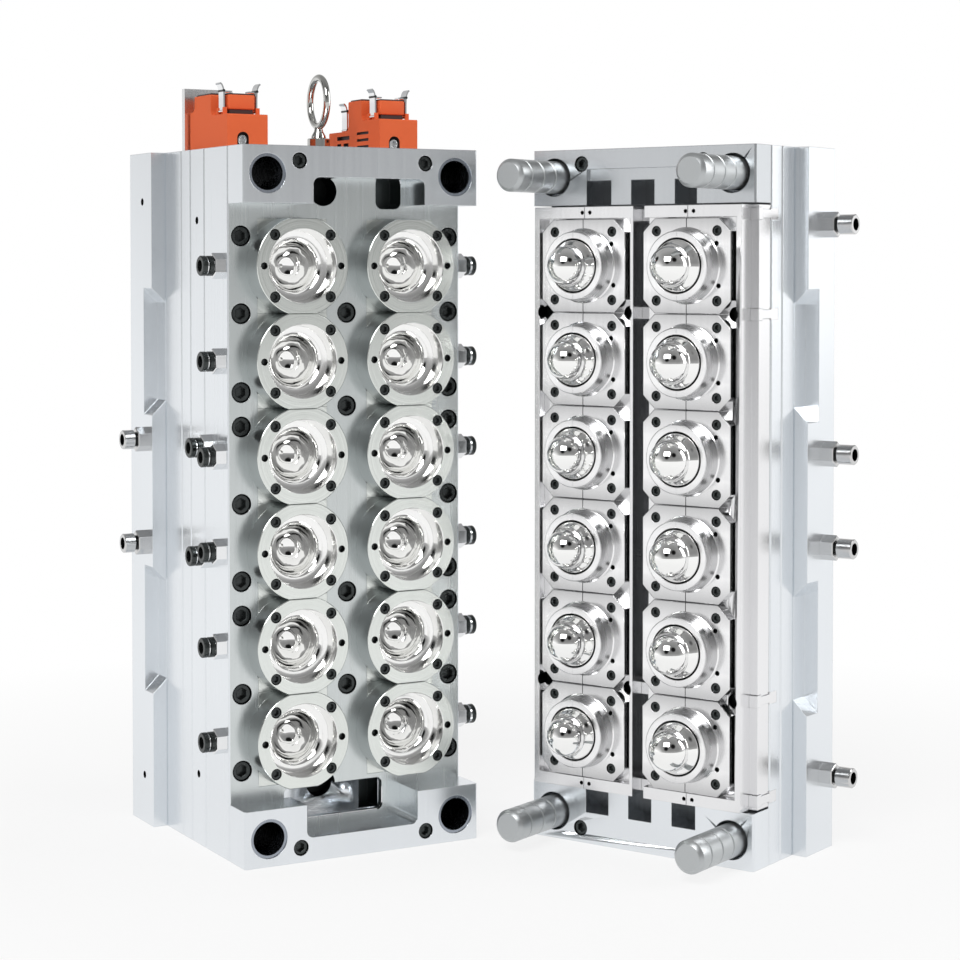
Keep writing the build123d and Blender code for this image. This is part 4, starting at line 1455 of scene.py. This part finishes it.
def lever_mesh(side):
    """A latch lever about its pivot: knuckle, bent strip with hook and lip, black roller."""
    bm = bmesh.new()
    near, far = -0.0050, 0.0050
    turned(bm, [(0, near), (0.00125, near), (0.00125, far), (0, far)], 20)
    path = [(0, 0), (0, 0.0105), (side * 0.0002, 0.0170), (side * 0.0009, 0.0200)]
    path += [(side * 0.0019, 0.0222), (side * 0.0034, 0.0236)]
    bent_strip(bm, path, 0.0013, near, far)
    hook = [(0, 0.0130), (-side * 0.0008, 0.0156), (-side * 0.0024, 0.0166), (-side * 0.0068, 0.0166)]
    bent_strip(bm, hook, 0.0012, near + 0.0012, far - 0.0012)
    rings = [(0, near - 0.0006), (0.0012, near - 0.0006), (0.0012, far + 0.0006), (0, far + 0.0006)]
    turned(bm, rings, 16, at=(side * 0.0002, 0, 0.0172), finish=1)
    return mesh_of("latch_lever", bm, [finish("bright"), finish("black")])


class MOULD_OT_connectors(bpy.types.Operator):
    """Builds the connectors: housings, caps, seals, screws, levers and the bracket"""

    bl_idname = "mould.connectors"
    bl_label = "Connectors"

    def execute(self, context):
        paint("connector_bracket", "bracket")
        bright = bmesh.new()
        for name, x, hump_end in (("left", 0.0065, 0.1180), ("right", 0.1495, 0.1080)):
            paint(f"{name}_connector_base", "hood")
            cut_housing(name, x)
            cap_screw(bright, x + 0.0143, 0.6062, 0.0484, 0.0095, 0.0008)
            node = f"{name}_connector_hood"
            add_piece(f"{name}_connector_cap", cap_mesh(x), CAVITY, "root", stands_for=(node,))
            seal = bmesh.new()
            low, high = (x + 0.0012, 0.0860, 0.6455), (x + 0.0358, hump_end, 0.6474)
            broken_slab(seal, low, high, 0.0006)
            mesh = mesh_of(f"{name}_connector_seal", seal, [finish("gasket")])
            add_piece(f"{name}_connector_seal", mesh, CAVITY, "root")
            for edge, side, pivot in (("left", -1, x + 0.0035), ("right", 1, x + 0.0335)):
                latch = f"{name}_connector_{edge}_latch"
                place = CAVITY @ Matrix.Translation((pivot, 0.068, 0.631))
                add_piece(f"{latch}_lever", lever_mesh(side), place, latch, stands_for=(latch,))
        mesh = mesh_of("connector_screws", bright, [finish("fitting")])
        add_piece("connector_screws", mesh, CAVITY, "root")
        place = CAVITY @ Matrix.Translation((0.1530, 0.124, 0.6215))
        add_piece("rear_lever", lever_mesh(-1), place, "root")
        return {"FINISHED"}


class MOULD_OT_hot_runner(bpy.types.Operator):
    """Finishes the hot runner, the sprue bush and the locating ring"""

    bl_idname = "mould.hot_runner"
    bl_label = "Hot Runner"

    def execute(self, context):
        paint("manifold", "heated")
        paint("hot_nozzles", "heated")
        paint("sprue_bush", "pin")
        paint("locating_ring", "core_face")
        return {"FINISHED"}


# ---- stage ----


def area_light(name, place, aim, size, power, colour=(1, 1, 1)):
    """A soft rectangular light that looks at a point."""
    data = bpy.data.lights.new(name, "AREA")
    data.shape = "RECTANGLE"
    data.size, data.size_y = size
    data.energy = power
    data.color = colour
    light = bpy.data.objects.new(name, data)
    bpy.context.scene.collection.objects.link(light)
    light.location = place
    light.rotation_euler = (Vector(aim) - Vector(place)).to_track_quat("-Z", "Y").to_euler()
    return light


def studio_direction(azimuth, elevation):
    """A direction in the room: azimuth in degrees from -Y towards +X."""
    around, up = math.radians(azimuth), math.radians(elevation)
    return (
        math.sin(around) * math.cos(up),
        -math.cos(around) * math.cos(up),
        math.sin(up),
    )


# Cards round the object, as (azimuth, elevation, inner and outer radius in degrees, level)
CARDS = (
    (29, 0, 8, 34, 0.70),
    (-100, -4, 10, 30, 1.6),
    (92, -2, 12, 34, 1.35),
    (-8, 34, 9, 16, 0.03),
    (-52, 22, 8, 15, 0.03),
    (58, 40, 8, 15, 0.03),
    (-128, 26, 8, 14, 0.03),
    (120, 30, 8, 14, 0.03),
)


def studio_world(look):
    """A pale studio: white behind the object, greyer behind the camera and overhead, with
    dark and bright cards that polished steel shows as shapes."""
    world = bpy.data.worlds.new("studio")
    bpy.context.scene.world = world
    world.use_nodes = True
    nodes, links = world.node_tree.nodes, world.node_tree.links
    nodes.clear()
    output = nodes.new("ShaderNodeOutputWorld")
    room = nodes.new("ShaderNodeBackground")
    white = nodes.new("ShaderNodeBackground")
    white.inputs["Color"].default_value = (1, 1, 1, 1)
    where = nodes.new("ShaderNodeTexCoord").outputs["Generated"]

    def towards(direction):
        """How closely a ray points along a direction."""
        facing = nodes.new("ShaderNodeVectorMath")
        facing.operation = "DOT_PRODUCT"
        facing.inputs[1].default_value = direction
        links.new(where, facing.inputs[0])
        return facing.outputs["Value"]

    def times(first, second):
        """The product of two values."""
        product = nodes.new("ShaderNodeMath")
        product.operation = "MULTIPLY"
        links.new(first, product.inputs[0])
        links.new(second, product.inputs[1])
        return product.outputs["Value"]

    level = spread(nodes, links, towards(look), 0.42, 1.0, -0.9, 0.15)
    level = times(level, spread(nodes, links, towards((0, 0, 1)), 1.0, 0.62, -0.02, 0.20))
    level = times(level, spread(nodes, links, towards((0, 0, 1)), 1.0, 0.60, 0.20, 0.80))
    for azimuth, elevation, inner, outer, shown in CARDS:
        near = towards(studio_direction(azimuth, elevation))
        start, end = math.cos(math.radians(outer)), math.cos(math.radians(inner))
        level = times(level, spread(nodes, links, near, 1.0, shown, start, end))
    links.new(level, room.inputs["Color"])
    path = nodes.new("ShaderNodeLightPath")
    clear = nodes.new("ShaderNodeMath")
    clear.operation = "MAXIMUM"
    links.new(path.outputs["Is Camera Ray"], clear.inputs[0])
    links.new(path.outputs["Is Transmission Ray"], clear.inputs[1])
    mirrored = nodes.new("ShaderNodeMath")
    mirrored.operation = "MAXIMUM"
    behind = spread(nodes, links, towards(look), 0.0, 1.0, 0.80, 0.97)
    links.new(clear.outputs["Value"], mirrored.inputs[0])
    links.new(times(path.outputs["Is Glossy Ray"], behind), mirrored.inputs[1])
    mix = nodes.new("ShaderNodeMixShader")
    links.new(mirrored.outputs["Value"], mix.inputs["Fac"])
    links.new(room.outputs["Background"], mix.inputs[1])
    links.new(white.outputs["Background"], mix.inputs[2])
    links.new(mix.outputs["Shader"], output.inputs["Surface"])


def floor_material(colour):
    """A pale floor that keeps the object's shadow and fades to plain white round it."""
    material, nodes, links, shader = new_finish("studio_floor", colour, 0.0, 0.8)
    glow = nodes.new("ShaderNodeEmission")
    glow.inputs["Strength"].default_value = 1.0
    path = nodes.new("ShaderNodeLightPath")
    seen = nodes.new("ShaderNodeMath")
    seen.operation = "MAXIMUM"
    links.new(path.outputs["Is Camera Ray"], seen.inputs[0])
    links.new(path.outputs["Is Glossy Ray"], seen.inputs[1])
    where = nodes.new("ShaderNodeTexCoord")
    distance = nodes.new("ShaderNodeVectorMath")
    distance.operation = "LENGTH"
    links.new(where.outputs["Object"], distance.inputs[0])
    fade = spread(nodes, links, distance.outputs["Value"], 0.82, 1.0, 0.40, 1.00)
    share = nodes.new("ShaderNodeMath")
    share.operation = "MULTIPLY"
    links.new(seen.outputs["Value"], share.inputs[0])
    links.new(fade, share.inputs[1])
    mix = nodes.new("ShaderNodeMixShader")
    links.new(share.outputs["Value"], mix.inputs["Fac"])
    links.new(shader.outputs["BSDF"], mix.inputs[1])
    links.new(glow.outputs["Emission"], mix.inputs[2])
    links.new(mix.outputs["Shader"], nodes["Material Output"].inputs["Surface"])
    return material


class MOULD_OT_stage(bpy.types.Operator):
    """Sets the floor, the lights and the camera"""

    bl_idname = "mould.stage"
    bl_label = "Stage"

    def execute(self, context):
        studio = context.scene.mould_studio
        around, pitch = math.radians(29.248), math.radians(-1.695)
        look = Vector((math.sin(around), math.cos(around), 0))
        data = bpy.data.cameras.new("camera")
        data.sensor_width = 36.0
        data.lens = 85.29
        data.shift_y = -0.1531
        data.clip_end = 50
        camera = bpy.data.objects.new("camera", data)
        context.scene.collection.objects.link(camera)
        camera.location = CAVITY @ Vector((-0.7429, -1.7242, 0.5001))
        aim = look * math.cos(pitch) + Vector((0, 0, math.sin(pitch)))
        camera.rotation_euler = aim.to_track_quat("-Z", "Y").to_euler()
        context.scene.camera = camera
        context.scene.view_settings.view_transform = "Standard"

        plane = bmesh.new()
        bmesh.ops.create_circle(plane, cap_ends=True, segments=64, radius=12)
        mesh = bpy.data.meshes.new("floor")
        plane.to_mesh(mesh)
        plane.free()
        mesh.materials.append(floor_material(tuple(studio.floor)))
        floor = bpy.data.objects.new("floor", mesh)
        context.scene.collection.objects.link(floor)

        studio_world(look)
        middle = (0, 0, 0.3)
        area_light("key_light", (-1.6, -1.4, 2.2), middle, (1.6, 1.2), studio.key_power)
        area_light("fill_light", (1.9, -1.2, 1.2), middle, (1.0, 1.6), studio.fill_power)
        return {"FINISHED"}


class MOULD_PT_pieces(bpy.types.Panel):
    """Lists the mould's pieces in the sidebar"""

    bl_label = "Preform Mould"
    bl_idname = "MOULD_PT_pieces"
    bl_space_type = "VIEW_3D"
    bl_region_type = "UI"
    bl_category = "Preform Mould"

    def draw(self, context):
        scene = context.scene
        for name, group in SETTINGS.items():
            box = self.layout.box()
            box.label(text=group.bl_rna.name)
            settings = getattr(scene, name)
            for key in settings.__annotations__:
                box.prop(settings, key)
        for operator in OPERATORS:
            self.layout.operator(operator.bl_idname)


SETTINGS = {
    "mould_pattern": PatternSizes,
    "mould_fasteners": FastenerSizes,
    "mould_colours": MouldColours,
    "mould_studio": StudioSettings,
}

OPERATORS = (
    MOULD_OT_stage,
    MOULD_OT_plates,
    MOULD_OT_side_holes,
    MOULD_OT_plate_screws,
    MOULD_OT_cavity_inserts,
    MOULD_OT_insert_screws,
    MOULD_OT_guide_bushes,
    MOULD_OT_couplings,
    MOULD_OT_eye_bolt,
    MOULD_OT_connectors,
    MOULD_OT_hot_runner,
    MOULD_OT_slides,
    MOULD_OT_neck_rings,
    MOULD_OT_neck_screws,
    MOULD_OT_cores,
    MOULD_OT_leader_pins,
)


def register():
    for group in SETTINGS.values():
        bpy.utils.register_class(group)
    for name, group in SETTINGS.items():
        setattr(bpy.types.Scene, name, PointerProperty(type=group))
    for operator in OPERATORS:
        bpy.utils.register_class(operator)
    bpy.utils.register_class(MOULD_PT_pieces)


def unregister():
    bpy.utils.unregister_class(MOULD_PT_pieces)
    for operator in reversed(OPERATORS):
        bpy.utils.unregister_class(operator)
    for name, group in SETTINGS.items():
        delattr(bpy.types.Scene, name)
        bpy.utils.unregister_class(group)


def main():
    register()
    for operator in OPERATORS:
        area, call = operator.bl_idname.split(".")
        getattr(getattr(bpy.ops, area), call)()


if __name__ == "__main__":
    main()
